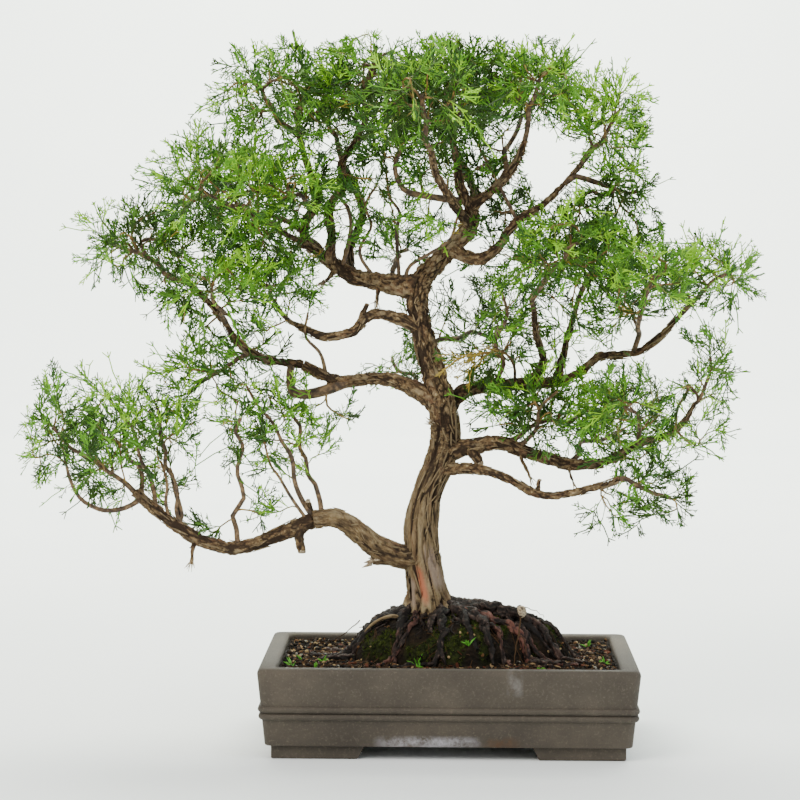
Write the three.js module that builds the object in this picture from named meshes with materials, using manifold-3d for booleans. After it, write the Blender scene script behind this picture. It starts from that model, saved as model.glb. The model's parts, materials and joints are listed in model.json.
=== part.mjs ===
// A Chinese juniper grown as a bonsai: a bent trunk on spreading surface roots, tapering boughs,
// open pads of foliage, and the mounded soil of a footed rectangular pot.
// Millimetres, +Z up. Sizes below are measured from the middle of the pot, on the table top.
// The finished group is set so that the table point under the middle of the whole plant is the origin.

import * as THREE from 'three';
import { mergeVertices } from 'three/addons/utils/BufferGeometryUtils.js';
import Module from 'manifold-3d';

const wasm = await Module();
wasm.setup();

// Driving dimensions.

const CLEARANCE = 0.3; // between two pieces that touch on the real plant
const GRID = 0.01; // corners lie on a grid this fine, so no sliver is thinner

const POT = {
  length: 250, width: 168, height: 60, corner: 5,
  wall: 12, taper: 4.7, floor: 6,
  foot: { height: 8.8, length: 62, width: 44, inset: 4.2, slant: 5, sink: 1.5 },
  bead: { radius: 2, heights: [28.4, 33.2] },
  drain: { radius: 8, offset: 58 },
};

const SOIL = { level: 57, mound: { x: 7, y: 0, rx: 78, ry: 46, height: 31, fullness: 2.6 } };

// The trunk's middle line from the soil to its tip, and its radius at even steps along it.
const TRUNK = {
  route: [
    [-13, 0, 84], [-15, 0, 102], [-18, 0, 122], [-19, 1, 146], [-15, 4, 168], [-7, 8, 188],
    [-3, 8, 206], [-6, 4, 230], [-13, 0, 254], [-19, -4, 278], [-23, -3, 298], [-18, 2, 314],
    [-4, 8, 329], [11, 10, 345], [13, 8, 358], [6, 5, 376], [3, 4, 396],
  ],
  girth: [16, 12.4, 11.8, 10.8, 9.6, 9.6, 9.8, 9.2, 8, 7.2, 7.6, 7.2, 6.3, 5.6, 4.6, 3.4, 2.2],
};

// Roots that show on the mound: compass angle from +X, how far each reaches, its radius at the trunk,
// and how much it swings aside.
const ROOTS = [
  { angle: -8, reach: 84, radius: 5.4, swing: 6 },
  { angle: 14, reach: 58, radius: 6.0, swing: -4 },
  { angle: -48, reach: 66, radius: 4.6, swing: 7 },
  { angle: -82, reach: 54, radius: 4.4, swing: 5 },
  { angle: -128, reach: 56, radius: 4.8, swing: -6 },
  { angle: -172, reach: 78, radius: 4.8, swing: 5 },
  { angle: 142, reach: 64, radius: 4.2, swing: 6 },
  { angle: 98, reach: 54, radius: 4.6, swing: -7 },
  { angle: 52, reach: 62, radius: 4.4, swing: 5 },
];

// Boughs. Each springs from the point of its parent nearest to the first place in its route, and its
// radius is given at even steps from the parent to the tip.
const BOUGHS = [
  { name: 'bough_low_left_inner', from: 'trunk', girth: [9, 8.4, 7.4, 6.6, 6],
    route: [[-17, 0, 124], [-36, -4, 126], [-52, -9, 134], [-65, -13, 145], [-78, -16, 152],
      [-92, -18, 151]] },
  { name: 'bough_low_left_outer', from: 'bough_low_left_inner', girth: [5.8, 4.6, 4.4, 3.2],
    route: [[-93, -18, 151], [-117, -20, 140], [-142, -22, 132], [-166, -24, 137],
      [-191, -26, 153], [-211, -28, 170]] },
  { name: 'bough_mid_left_inner', from: 'trunk', girth: [6.4, 4.8, 4.2, 3.6],
    route: [[-8, 2, 227], [-31, 4, 241], [-51, 8, 245], [-76, 8, 243], [-100, 6, 254]] },
  { name: 'bough_mid_left_outer', from: 'bough_mid_left_inner', girth: [3.4, 2.8, 2.2, 1.8],
    route: [[-101, 6, 254], [-126, 4, 258], [-144, 2, 269], [-156, 0, 287], [-172, -1, 304]] },
  { name: 'bough_left_spur', from: 'trunk', girth: [4.2, 3.5, 3.2, 2.2],
    route: [[-21, -4, 281], [-45, -12, 289], [-57, -16, 286], [-66, -17, 277], [-86, -12, 274],
      [-104, 2, 281]] },
  { name: 'bough_high_left', from: 'trunk', girth: [6.8, 5.8, 4.6, 3.0],
    route: [[-22, 0, 306], [-45, 8, 310], [-67, 14, 314], [-86, 14, 327], [-103, 6, 338]] },
  { name: 'bough_high_left_rise', from: 'bough_high_left', girth: [3.2, 2.6, 2.0],
    route: [[-97, 10, 334], [-100, 13, 348], [-91, 9, 364], [-94, 5, 379], [-99, 2, 394]] },
  { name: 'bough_high_left_crown', from: 'bough_high_left', girth: [3.6, 2.8, 2.0],
    route: [[-82, 14, 325], [-81, 8, 342], [-82, 4, 359], [-73, 4, 376], [-74, 2, 390], [-65, 3, 405]] },
  { name: 'bough_crown_back_left', from: 'bough_high_left', girth: [3.6, 2.8, 2.0],
    route: [[-68, 14, 315], [-70, 34, 332], [-61, 50, 356], [-66, 60, 372], [-76, 66, 392]] },
  { name: 'bough_crown_front', from: 'trunk', girth: [3.8, 3.0, 2.0],
    route: [[12, 10, 350], [2, -14, 362], [-9, -38, 380], [-14, -56, 398]] },
  { name: 'bough_crown_back', from: 'trunk', girth: [3.8, 3.0, 2.0],
    route: [[12, 9, 354], [16, 34, 370], [9, 56, 388], [3, 68, 400]] },
  { name: 'bough_crown_right', from: 'trunk', girth: [3.6, 2.8, 2.0],
    route: [[12, 9, 360], [30, 4, 375], [43, 0, 390], [49, -6, 406]] },
  { name: 'bough_shoulder', from: 'trunk', girth: [4.2, 3.4, 2.8],
    route: [[1, 8, 332], [17, 0, 326], [29, -4, 332], [38, -6, 344], [45, -6, 353]] },
  { name: 'bough_shoulder_end', from: 'bough_shoulder', girth: [2.6, 2.2, 1.6],
    route: [[45, -6, 353], [60, -2, 362], [75, 2, 376], [87, 4, 390]] },
  { name: 'bough_mid_right_inner', from: 'trunk', girth: [5.4, 4.4, 4.2, 3.2],
    route: [[-5, 6, 222], [5, 14, 233], [20, 18, 239], [48, 22, 241], [73, 24, 242], [89, 22, 249]] },
  { name: 'bough_mid_right_outer', from: 'bough_mid_right_inner', girth: [3.0, 2.8, 2.0],
    route: [[89, 22, 249], [102, 20, 260], [126, 18, 263], [143, 12, 275], [156, 6, 290]] },
  { name: 'bough_mid_right_rise', from: 'bough_mid_right_inner', girth: [3.2, 2.6, 2.0],
    route: [[55, 22, 242], [63, 14, 256], [58, 2, 274], [56, -8, 292]] },
  { name: 'bough_mid_right_back', from: 'bough_mid_right_inner', girth: [3.0, 2.4, 1.8],
    route: [[73, 24, 243], [78, 32, 264], [85, 38, 288]] },
  { name: 'bough_low_right_inner', from: 'trunk', girth: [5.6, 5.0, 4.4, 3.4],
    route: [[-2, 8, 194], [14, 4, 199], [34, 2, 202], [57, 2, 194], [81, 0, 188], [104, -1, 189]] },
  { name: 'bough_low_right_outer', from: 'bough_low_right_inner', girth: [3.2, 2.6, 1.6],
    route: [[105, -1, 189], [128, -4, 202], [152, -6, 212], [165, -8, 230]] },
  { name: 'bough_low_right_under', from: 'trunk', girth: [4.0, 3.0, 2.9, 1.9],
    route: [[-6, 6, 181], [14, -6, 185], [37, -18, 180], [63, -26, 169], [96, -32, 175],
      [113, -34, 181]] },
];

// Pads of foliage: the limb that carries each, the place on it where the pad's stem springs when that
// isn't the tip, the middle of the pad and how far it reaches along X, Y and Z.
const PADS = [
  { name: 'foliage_apex', from: 'trunk', centre: [2, 4, 446], reach: [38, 42, 29] },
  { name: 'foliage_crown_front', from: 'bough_crown_front', centre: [-17, -70, 424], reach: [42, 41, 36] },
  { name: 'foliage_crown_back', from: 'bough_crown_back', centre: [-2, 84, 436], reach: [42, 40, 32] },
  { name: 'foliage_crown_left', from: 'bough_high_left_crown', centre: [-58, -4, 444], reach: [35, 46, 31] },
  { name: 'foliage_crown_right', from: 'bough_crown_right', centre: [54, -14, 440], reach: [33, 44, 31] },
  { name: 'foliage_crown_back_left', from: 'bough_crown_back_left', centre: [-84, 78, 426],
    reach: [38, 36, 33] },
  { name: 'foliage_crown_back_right', from: 'bough_crown_right', springs: [32, 4, 377],
    centre: [58, 66, 443], reach: [32, 36, 27] },
  { name: 'foliage_upper_left', from: 'bough_high_left_rise', centre: [-116, -12, 431], reach: [43, 46, 38] },
  { name: 'foliage_shoulder', from: 'bough_shoulder_end', centre: [102, 0, 417], reach: [30, 36, 30] },
  { name: 'foliage_shoulder_low', from: 'bough_shoulder_end', springs: [76, 2, 377],
    centre: [116, 12, 377], reach: [17, 25, 22] },
  { name: 'foliage_left_inner', from: 'bough_high_left_rise', springs: [-95, 9, 360],
    centre: [-102, -24, 374], reach: [25, 28, 27] },
  { name: 'foliage_left_front', from: 'bough_high_left', centre: [-154, -36, 371], reach: [44, 42, 37] },
  { name: 'foliage_left_back', from: 'bough_high_left', springs: [-84, 14, 326],
    centre: [-146, 54, 366], reach: [40, 38, 34] },
  { name: 'foliage_far_left', from: 'bough_mid_left_outer', centre: [-214, 0, 334], reach: [36, 38, 27] },
  { name: 'foliage_left_low_front', from: 'bough_mid_left_outer', springs: [-152, 1, 280],
    centre: [-156, -38, 304], reach: [42, 36, 25] },
  { name: 'foliage_left_low_back', from: 'bough_left_spur', centre: [-124, 38, 308], reach: [36, 36, 27] },
  { name: 'foliage_left_hanging', from: 'bough_mid_left_outer', springs: [-132, 3, 261],
    centre: [-168, 14, 248], reach: [24, 30, 27] },
  { name: 'foliage_low_left_tip', from: 'bough_low_left_outer', centre: [-247, -32, 206],
    reach: [47, 44, 42] },
  { name: 'foliage_low_left_heel', from: 'bough_low_left_outer', springs: [-182, -25, 147],
    centre: [-194, -4, 214], reach: [31, 36, 40] },
  { name: 'foliage_low_left_back', from: 'bough_low_left_outer', springs: [-202, -27, 162],
    centre: [-230, 48, 202], reach: [34, 32, 32] },
  { name: 'foliage_low_left_rise', from: 'bough_low_left_outer', springs: [-142, -22, 132],
    centre: [-140, -26, 205], reach: [26, 30, 42] },
  { name: 'foliage_low_left_inner', from: 'bough_low_left_inner', springs: [-86, -17, 154],
    centre: [-104, 4, 213], reach: [26, 32, 40] },
  { name: 'foliage_right_front', from: 'bough_mid_right_rise', centre: [72, -32, 331], reach: [46, 38, 34] },
  { name: 'foliage_right_back', from: 'bough_mid_right_back', centre: [96, 54, 323], reach: [42, 38, 28] },
  { name: 'foliage_far_right', from: 'bough_mid_right_outer', centre: [173, 2, 314], reach: [38, 38, 25] },
  { name: 'foliage_right_outer_front', from: 'bough_mid_right_outer', springs: [124, 18, 263],
    centre: [131, -44, 314], reach: [33, 36, 25] },
  { name: 'foliage_near_right', from: 'trunk', springs: [-14, 0, 262], centre: [31, 62, 281],
    reach: [32, 36, 32] },
  { name: 'foliage_low_right_tip', from: 'bough_low_right_outer', centre: [171, -8, 251],
    reach: [21, 27, 29] },
  { name: 'foliage_low_right_front', from: 'bough_low_right_outer', springs: [127, -4, 201],
    centre: [122, -30, 228], reach: [34, 34, 26] },
  { name: 'foliage_low_right_inner', from: 'bough_low_right_inner', springs: [38, 2, 201],
    centre: [68, 10, 219], reach: [36, 34, 22] },
  { name: 'foliage_low_right_back', from: 'bough_low_right_inner', springs: [80, 0, 188],
    centre: [112, 56, 210], reach: [36, 34, 26] },
  { name: 'foliage_low_right_hanging', from: 'bough_low_right_under', centre: [136, -32, 177],
    reach: [29, 34, 19] },
  { name: 'foliage_near_left', from: 'trunk', springs: [-5, 7, 214], centre: [-37, 78, 254],
    reach: [27, 32, 27] },
  { name: 'foliage_high_back', from: 'bough_high_left', springs: [-40, 7, 309], centre: [-34, 66, 336],
    reach: [21, 26, 20] },
];

const STEM = { sides: 3, steps: 4, radius: 1.9, tip: 1.1, past: 0.5, drop: 0.2 };
const SPRIG = {
  perPad: 10, lowest: -0.66, behind: 0.3, shares: [1.02, 0.92, 0.8, 0.68, 0.56], turns: 6, lift: 5,
  blade: 30, width: 22, thickness: 2, stalk: 1.5, room: 1.1, apart: 4,
};

const MATERIAL = {
  clay: new THREE.MeshStandardMaterial({ color: '#8b8079', roughness: 0.82, metalness: 0 }),
  soil: new THREE.MeshStandardMaterial({ color: '#3a2a20', roughness: 0.95, metalness: 0 }),
  bark: new THREE.MeshStandardMaterial({ color: '#7a6350', roughness: 0.9, metalness: 0 }),
  foliage: new THREE.MeshStandardMaterial({ color: '#4c8a2a', roughness: 0.6, metalness: 0 }),
};

// Small helpers.

const vector = (list) => new THREE.Vector3(...list);
const UP = new THREE.Vector3(0, 0, 1);
const GOLDEN_ANGLE = Math.PI * (3 - Math.sqrt(5));

// A repeatable run of numbers from 0 to 1.
function draws(seed) {
  let state = seed;
  return () => {
    state = (state * 1664525 + 1013904223) % 4294967296;
    return state / 4294967296;
  };
}

// A value from a list that is spaced evenly over 0 to 1.
function along(values, t) {
  const place = Math.min(Math.max(t, 0), 1) * (values.length - 1);
  const k = Math.min(Math.floor(place), values.length - 2);
  return values[k] + (values[k + 1] - values[k]) * (place - k);
}

const smoothLine = (points) => new THREE.CatmullRomCurve3(points, false, 'catmullrom', 0.5);

// Solids: closed geometry in, closed geometry out, with the joins and cuts between them.

function solidOf(geometry) {
  const bare = geometry.index ? geometry.toNonIndexed() : geometry.clone();
  bare.deleteAttribute('normal');
  bare.deleteAttribute('uv');
  const place = bare.attributes.position.array;
  place.forEach((value, i) => {
    place[i] = GRID * Math.round(value / GRID);
  });
  const merged = mergeVertices(bare, GRID / 4);
  return new wasm.Manifold(new wasm.Mesh({
    numProp: 3,
    vertProperties: merged.attributes.position.array,
    triVerts: new Uint32Array(merged.index.array),
  }));
}

function geometryOf(solid) {
  const { vertProperties, triVerts } = solid.getMesh();
  const geometry = new THREE.BufferGeometry();
  geometry.setAttribute('position', new THREE.BufferAttribute(vertProperties, 3));
  geometry.setIndex(new THREE.BufferAttribute(triVerts, 1));
  return geometry;
}

const join = (solids) => solids.reduce((whole, solid) => whole.add(solid));

// The largest body of a solid, without any loose scrap.
function wholeBody(solid) {
  return solid.decompose().reduce((best, body) => (body.volume() > best.volume() ? body : best));
}

// Whether every edge still lies between just two faces once its corners are on the grid.
function isSound(solid) {
  const { vertProperties, triVerts } = solidOf(geometryOf(solid)).getMesh();
  const corner = (v) => vertProperties.subarray(3 * v, 3 * v + 3)
    .map((value) => Math.round(value / GRID)).join();
  const uses = new Map();
  triVerts.forEach((v, i) => {
    const next = triVerts[i % 3 === 2 ? i - 2 : i + 1];
    const edge = [corner(v), corner(next)].sort().join('|');
    uses.set(edge, (uses.get(edge) ?? 0) + 1);
  });
  return [...uses.values()].every((count) => count === 2);
}

// Stacked rings of equally many points, closed at both ends.
function loft(rings) {
  const sides = rings[0].length;
  const positions = rings.flat().flatMap((point) => point.toArray());
  const index = [];
  for (let r = 0; r < rings.length - 1; r += 1) {
    for (let s = 0; s < sides; s += 1) {
      const a = r * sides + s;
      const b = r * sides + ((s + 1) % sides);
      index.push(a, b, b + sides, a, b + sides, a + sides);
    }
  }
  const last = (rings.length - 1) * sides;
  for (let s = 1; s < sides - 1; s += 1) {
    index.push(0, s + 1, s);
    index.push(last, last + s, last + s + 1);
  }
  const geometry = new THREE.BufferGeometry();
  geometry.setAttribute('position', new THREE.BufferAttribute(new Float32Array(positions), 3));
  geometry.setIndex(index);
  return geometry;
}

// A round limb along a curve, its radius read from a list, with flat ends. The extra goes all round it.
function limbGeometry(curve, girth, sides, steps, extra = 0) {
  const rings = [];
  let across = new THREE.Vector3(0, 1, 0);
  for (let i = 0; i <= steps; i += 1) {
    const t = i / steps;
    const tangent = curve.getTangent(t);
    const beyond = { 0: -extra, [steps]: extra }[i] ?? 0;
    const middle = curve.getPoint(t).addScaledVector(tangent, beyond);
    across = across.clone().addScaledVector(tangent, -across.dot(tangent)).normalize();
    const upright = new THREE.Vector3().crossVectors(tangent, across);
    const radius = along(girth, t) + extra;
    rings.push(Array.from({ length: sides }, (_, s) => {
      const turn = (2 * Math.PI * s) / sides;
      return middle.clone()
        .addScaledVector(across, radius * Math.cos(turn))
        .addScaledVector(upright, radius * Math.sin(turn));
    }));
  }
  return loft(rings);
}

// The mound of soil round the foot of the trunk.

const moundLump = (angle) => 1 + 0.07 * Math.sin(3 * angle + 1) + 0.05 * Math.sin(5 * angle + 2);

function moundHeight(x, y) {
  const { mound, level } = SOIL;
  const [u, v] = [(x - mound.x) / mound.rx, (y - mound.y) / mound.ry];
  const out = Math.hypot(u, v) / moundLump(Math.atan2(v, u));
  return level + mound.height * Math.sqrt(Math.max(0, 1 - out ** mound.fullness));
}

function moundSolid() {
  const { mound, level } = SOIL;
  const bands = 6;
  const around = 18;
  const rings = [];
  for (let band = 0; band <= bands; band += 1) {
    const slope = (band / bands) * (Math.PI / 2) * 0.97;
    rings.push(Array.from({ length: around }, (_, s) => {
      const angle = (2 * Math.PI * s) / around;
      const out = Math.cos(slope) ** (2 / mound.fullness) * moundLump(angle);
      return new THREE.Vector3(
        mound.x + mound.rx * out * Math.cos(angle),
        mound.y + mound.ry * out * Math.sin(angle),
        level + mound.height * Math.sin(slope),
      );
    }));
  }
  const base = rings[0].map((point) => point.clone().setZ(level - 4));
  return solidOf(loft([base, ...rings]));
}

// Limbs: each keeps its curve, its radii and the outline that its neighbours stay clear of.

function springPoint(parent, place) {
  let best = { t: 1, gap: Infinity };
  for (let i = 0; i <= 200; i += 1) {
    const gap = parent.curve.getPoint(i / 200).distanceTo(place);
    if (gap < best.gap) best = { t: i / 200, gap };
  }
  return parent.curve.getPoint(best.t);
}

function growTrunk() {
  const curve = smoothLine(TRUNK.route.map(vector));
  const foot = vector(TRUNK.route[0]);
  const roots = ROOTS.map((root) => {
    const angle = THREE.MathUtils.degToRad(root.angle);
    const outward = new THREE.Vector3(Math.cos(angle), Math.sin(angle), 0);
    const aside = new THREE.Vector3(-outward.y, outward.x, 0);
    const stretch = outward.x * outward.x + (outward.y * outward.y * SOIL.mound.ry) / SOIL.mound.rx;
    const points = [0, 0.22, 0.45, 0.7, 1].map((share) => {
      const point = foot.clone()
        .addScaledVector(outward, 4 + root.reach * share * stretch)
        .addScaledVector(aside, root.swing * Math.sin(share * 5));
      const radius = root.radius * (1 - 0.75 * share);
      return point.setZ(moundHeight(point.x, point.y) + 0.35 * radius);
    });
    points[0].setZ(foot.z + 9);
    return { curve: smoothLine(points), girth: [root.radius * 1.25, root.radius, root.radius * 0.4] };
  });
  const parts = (extra) => [
    limbGeometry(curve, TRUNK.girth, 8, 26, extra),
    ...roots.map((root) => limbGeometry(root.curve, root.girth, 4, 4, extra)),
  ];
  const below = new THREE.BoxGeometry(200, 200, 60).translate(foot.x, foot.y, SOIL.level - 30 - 2.5);
  const solid = join(parts(0).map(solidOf)).subtract(solidOf(below));
  return {
    name: 'trunk', curve, girth: TRUNK.girth, solid: wholeBody(solid),
    outline: join(parts(CLEARANCE).map(solidOf)),
  };
}

function growBough(bough, parent) {
  const places = bough.route.map(vector);
  const tipFirst = parent.curve.getPoint(1).distanceTo(places[0]) < 3;
  places[0] = tipFirst
    ? parent.curve.getPoint(1).addScaledVector(parent.curve.getTangent(1), CLEARANCE)
    : springPoint(parent, places[0]);
  const curve = smoothLine(places);
  const steps = Math.round(curve.getLength() / 17) + 1;
  const geometry = (extra) => limbGeometry(curve, bough.girth, 6, steps, extra);
  const solid = solidOf(geometry(0)).subtract(parent.outline);
  return {
    name: bough.name, curve, girth: bough.girth, solid: wholeBody(solid),
    outline: solidOf(geometry(CLEARANCE)),
  };
}

// Every limb and stem as a row of balls, for telling what a twig would touch.
function balls(curve, girth, count) {
  return Array.from({ length: count + 1 }, (_, i) => (
    { middle: curve.getPoint(i / count), radius: along(girth, i / count) }));
}

// Foliage. How deep a point lies in a pad: 0 at its middle, 1 on its outline.
function depthIn(pad, point) {
  const [x, y, z] = pad.centre;
  const [rx, ry, rz] = pad.reach;
  return Math.hypot((point.x - x) / rx, (point.y - y) / ry, (point.z - z) / rz);
}

// A point belongs to the pad that it lies deepest in, with a little room left at the border.
function ownedBy(pad, point) {
  const depth = depthIn(pad, point);
  return depth < 1.04 && PADS.every((other) => other === pad || depthIn(other, point) > depth + 0.07);
}

function stemOf(pad, parent) {
  const fromTip = !pad.springs;
  const root = fromTip ? parent.curve.getPoint(1) : springPoint(parent, vector(pad.springs));
  const heart = vector(pad.centre).addScaledVector(UP, -STEM.drop * pad.reach[2]);
  const gap = root.distanceTo(heart);
  const onward = heart.clone().sub(root).normalize();
  const lead = fromTip
    ? parent.curve.getTangent(1).lerp(onward, 0.4)
    : onward.clone().addScaledVector(UP, 0.3);
  if (fromTip) root.addScaledVector(parent.curve.getTangent(1), CLEARANCE);
  const far = heart.clone().add(onward.clone().multiply(vector(pad.reach)).multiplyScalar(STEM.past));
  const curve = smoothLine([root, root.clone().addScaledVector(lead, 0.3 * gap), heart, far]);
  const radius = Math.min(STEM.radius, along(parent.girth, 1));
  return { curve, girth: [radius, STEM.tip], fromTip };
}

// The way in which a sprig sets out: spread evenly round the pad, from straight up to below its middle.
function sprigWay(pad, n, chance) {
  const lift = 1 - (1 - SPRIG.lowest) * ((n + 0.5) / SPRIG.perPad);
  const turn = n * GOLDEN_ANGLE + 0.7 * chance();
  const flat = Math.sqrt(1 - lift * lift);
  const way = new THREE.Vector3(flat * Math.cos(turn), flat * Math.sin(turn), lift);
  return way.multiply(vector(pad.reach)).multiplyScalar(1 - 0.12 * chance());
}

// A sprig leaves the stem a little behind the place nearest to its end.
function sprigRoot(stem, end) {
  let nearest = 0;
  for (let i = 1; i <= 20; i += 1) {
    const closer = stem.curve.getPoint(i / 20).distanceTo(end)
      < stem.curve.getPoint(nearest).distanceTo(end);
    if (closer) nearest = i / 20;
  }
  return stem.curve.getPoint(Math.min(Math.max(nearest - SPRIG.behind, 0.2), 0.95));
}

// A sprig is a stalk that widens into a flat toothed blade, thickest along its middle. Each place on
// its outline is how far back from the tip in blades, how far to the side in blade widths.
const TEETH = [[0.5, -0.5], [0.45, -0.12], [0, 0], [0.36, 0.12], [0.24, 0.46]];
const HEART = [0.62, 0];

function sprigPlace(sprig, back, sideways) {
  return sprig.tip.clone()
    .addScaledVector(sprig.way, -back * sprig.blade)
    .addScaledVector(sprig.side, sideways * SPRIG.width);
}

function sprigGeometry(sprig) {
  const face = new THREE.Vector3().crossVectors(sprig.way, sprig.side).normalize();
  const foot = (sign) => sprig.root.clone().addScaledVector(sprig.side, (sign * SPRIG.stalk) / 2);
  const neck = (sign) => sprigPlace(sprig, 0.95, 0)
    .addScaledVector(sprig.side, sign * SPRIG.stalk * 0.6);
  const outline = [foot(-1), neck(-1), ...TEETH.map((place) => sprigPlace(sprig, ...place)),
    neck(1), foot(1)];
  const middles = [1, -1].map((sign) => (
    sprigPlace(sprig, ...HEART).addScaledVector(face, (sign * SPRIG.thickness) / 2)));
  const index = outline.flatMap((_, i) => {
    const next = (i + 1) % outline.length;
    return [i, next, outline.length, next, i, outline.length + 1];
  });
  const geometry = new THREE.BufferGeometry();
  const positions = new Float32Array([...outline, ...middles].flatMap((point) => point.toArray()));
  geometry.setAttribute('position', new THREE.BufferAttribute(positions, 3));
  geometry.setIndex(index);
  return geometry;
}

// The longest sprig with room, turned about its own line as often as that takes.
function sprigWithRoom(pad, stem, reach, roll, free) {
  for (const share of SPRIG.shares) {
    const tip = vector(pad.centre).addScaledVector(reach, share)
      .addScaledVector(UP, SPRIG.lift * (1 - share));
    const root = sprigRoot(stem, tip);
    const way = tip.clone().sub(root).normalize();
    const gap = root.distanceTo(tip);
    for (let turn = 0; turn < SPRIG.turns; turn += 1) {
      const side = new THREE.Vector3().crossVectors(way, UP).normalize()
        .applyAxisAngle(way, roll + (turn * Math.PI) / SPRIG.turns);
      const sprig = { root, tip, way, side, blade: Math.min(SPRIG.blade, 0.8 * gap) };
      const stalk = [0.35, 0.5].map((t) => root.clone().lerp(tip, t));
      sprig.places = [...TEETH, HEART, [0.2, 0]].map((place) => sprigPlace(sprig, ...place));
      if ([...stalk, ...sprig.places].every((place) => free(place, SPRIG.room))) return sprig;
    }
  }
  return null;
}

function growPad(pad, k, stems, limbs) {
  const chance = draws(1000 + 37 * k);
  const stem = stems[k];
  const others = [
    ...limbs.flatMap((limb) => limb.balls),
    ...stems.filter((other) => other !== stem).flatMap((other) => other.balls),
  ];
  const free = (point, room) => ownedBy(pad, point)
    && others.every((ball) => ball.middle.distanceTo(point) > ball.radius + room);
  const parent = limbs.find((limb) => limb.name === pad.from);
  let whole = solidOf(limbGeometry(stem.curve, stem.girth, STEM.sides, STEM.steps));
  if (!stem.fromTip) whole = wholeBody(whole.subtract(parent.outline));
  for (let n = 0; n < SPRIG.perPad; n += 1) {
    const reach = sprigWay(pad, n, chance);
    const sprig = sprigWithRoom(pad, stem, reach, 2 * Math.PI * chance(), free);
    const grown = sprig && whole.add(solidOf(sprigGeometry(sprig)));
    if (sprig && isSound(grown)) {
      whole = grown;
      others.push(...sprig.places.map((middle) => ({ middle, radius: SPRIG.apart })));
    }
  }
  return whole;
}

// The pot, its feet and its drain holes.

function slab(inset, z) {
  const [halfLength, halfWidth] = [POT.length / 2 - inset, POT.width / 2 - inset];
  const corner = Math.max(POT.corner - inset * 0.5, 1.5);
  const points = [];
  [[1, 1], [-1, 1], [-1, -1], [1, -1]].forEach(([sx, sy], quarter) => {
    for (let step = 0; step <= 2; step += 1) {
      const angle = (quarter + step / 2) * (Math.PI / 2);
      points.push(new THREE.Vector3(
        sx * (halfLength - corner) + corner * Math.cos(angle),
        sy * (halfWidth - corner) + corner * Math.sin(angle),
        z,
      ));
    }
  });
  return points;
}

const potBase = POT.foot.height;
const wallLean = (z) => POT.taper * (1 - (z - potBase) / (POT.height - potBase));
const cavityFloor = potBase + POT.floor;
const cavityInset = (z) => POT.wall + 3 * (1 - (z - cavityFloor) / (POT.height - cavityFloor));

function potSolid() {
  const { height, bead, wall, foot, drain } = POT;
  const beads = bead.heights.flatMap((middle) => [[-1, 0], [-0.5, 0.85], [0.5, 0.85], [1, 0]]
    .map(([up, out]) => {
      const z = middle + up * bead.radius;
      return slab(wallLean(z) - out * bead.radius, z);
    }));
  const rings = [
    slab(POT.taper + 1, potBase), slab(wallLean(potBase + 1.5), potBase + 1.5),
    ...beads,
    slab(0, height - 2.5), slab(0.8, height - 0.8), slab(2.6, height),
    slab(wall - 1.5, height), slab(wall, height - 1.2), slab(cavityInset(cavityFloor), cavityFloor),
  ];
  const body = solidOf(loft(rings));
  const feet = [[1, 1], [-1, 1], [-1, -1], [1, -1]].map(([sx, sy]) => {
    const box = new THREE.BoxGeometry(foot.length, foot.width, foot.height + foot.sink);
    const place = box.attributes.position;
    for (let i = 0; i < place.count; i += 1) {
      if (place.getZ(i) < 0 && place.getX(i) * sx < 0) place.setX(i, place.getX(i) + sx * foot.slant);
      if (place.getZ(i) < 0 && place.getY(i) * sy < 0) place.setY(i, place.getY(i) + sy * foot.slant);
    }
    return solidOf(box.translate(
      sx * (POT.length / 2 - POT.taper - foot.inset - foot.length / 2),
      sy * (POT.width / 2 - POT.taper - foot.inset - foot.width / 2),
      (foot.height + foot.sink) / 2,
    ));
  });
  const drains = [-1, 1].map((sx) => solidOf(
    new THREE.CylinderGeometry(drain.radius, drain.radius, 4 * POT.floor, 14)
      .rotateX(Math.PI / 2).translate(sx * drain.offset, 0, potBase),
  ));
  return drains.reduce((whole, hole) => whole.subtract(hole), join([body, ...feet]));
}

function soilSolid(trunk) {
  const low = cavityFloor + CLEARANCE;
  const block = loft([
    slab(cavityInset(low) + CLEARANCE, low),
    slab(cavityInset(SOIL.level) + CLEARANCE, SOIL.level),
  ]);
  return wholeBody(join([solidOf(block), moundSolid()]).subtract(trunk.outline));
}

// Assembly.

const trunk = growTrunk();
const limbs = [trunk];
BOUGHS.forEach((bough) => {
  const parent = limbs.find((limb) => limb.name === bough.from);
  limbs.push(growBough(bough, parent));
});
limbs.forEach((limb) => {
  limb.balls = balls(limb.curve, limb.girth, Math.ceil(limb.curve.getLength() / 3));
});
const stems = PADS.map((pad) => stemOf(pad, limbs.find((limb) => limb.name === pad.from)));
stems.forEach((stem) => {
  stem.balls = balls(stem.curve, stem.girth, 16);
});

const pieces = [
  { name: 'pot', solid: potSolid(), material: MATERIAL.clay },
  { name: 'soil', solid: soilSolid(trunk), material: MATERIAL.soil },
  ...limbs.map((limb) => ({ name: limb.name, solid: limb.solid, material: MATERIAL.bark })),
  ...PADS.map((pad, k) => (
    { name: pad.name, solid: growPad(pad, k, stems, limbs), material: MATERIAL.foliage })),
];

// The table point under the middle of the whole plant becomes the origin.
const whole = new THREE.Box3();
pieces.forEach((piece) => {
  const geometry = geometryOf(piece.solid);
  geometry.computeBoundingBox();
  whole.union(geometry.boundingBox);
});
const middle = whole.getCenter(new THREE.Vector3()).divideScalar(GRID).round().multiplyScalar(GRID);

const bonsai = new THREE.Group();
pieces.forEach((piece) => {
  const placed = solidOf(geometryOf(piece.solid).translate(-middle.x, -middle.y, 0));
  const mesh = new THREE.Mesh(geometryOf(placed), piece.material);
  mesh.name = piece.name;
  bonsai.add(mesh);
});

export default bonsai;
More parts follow.
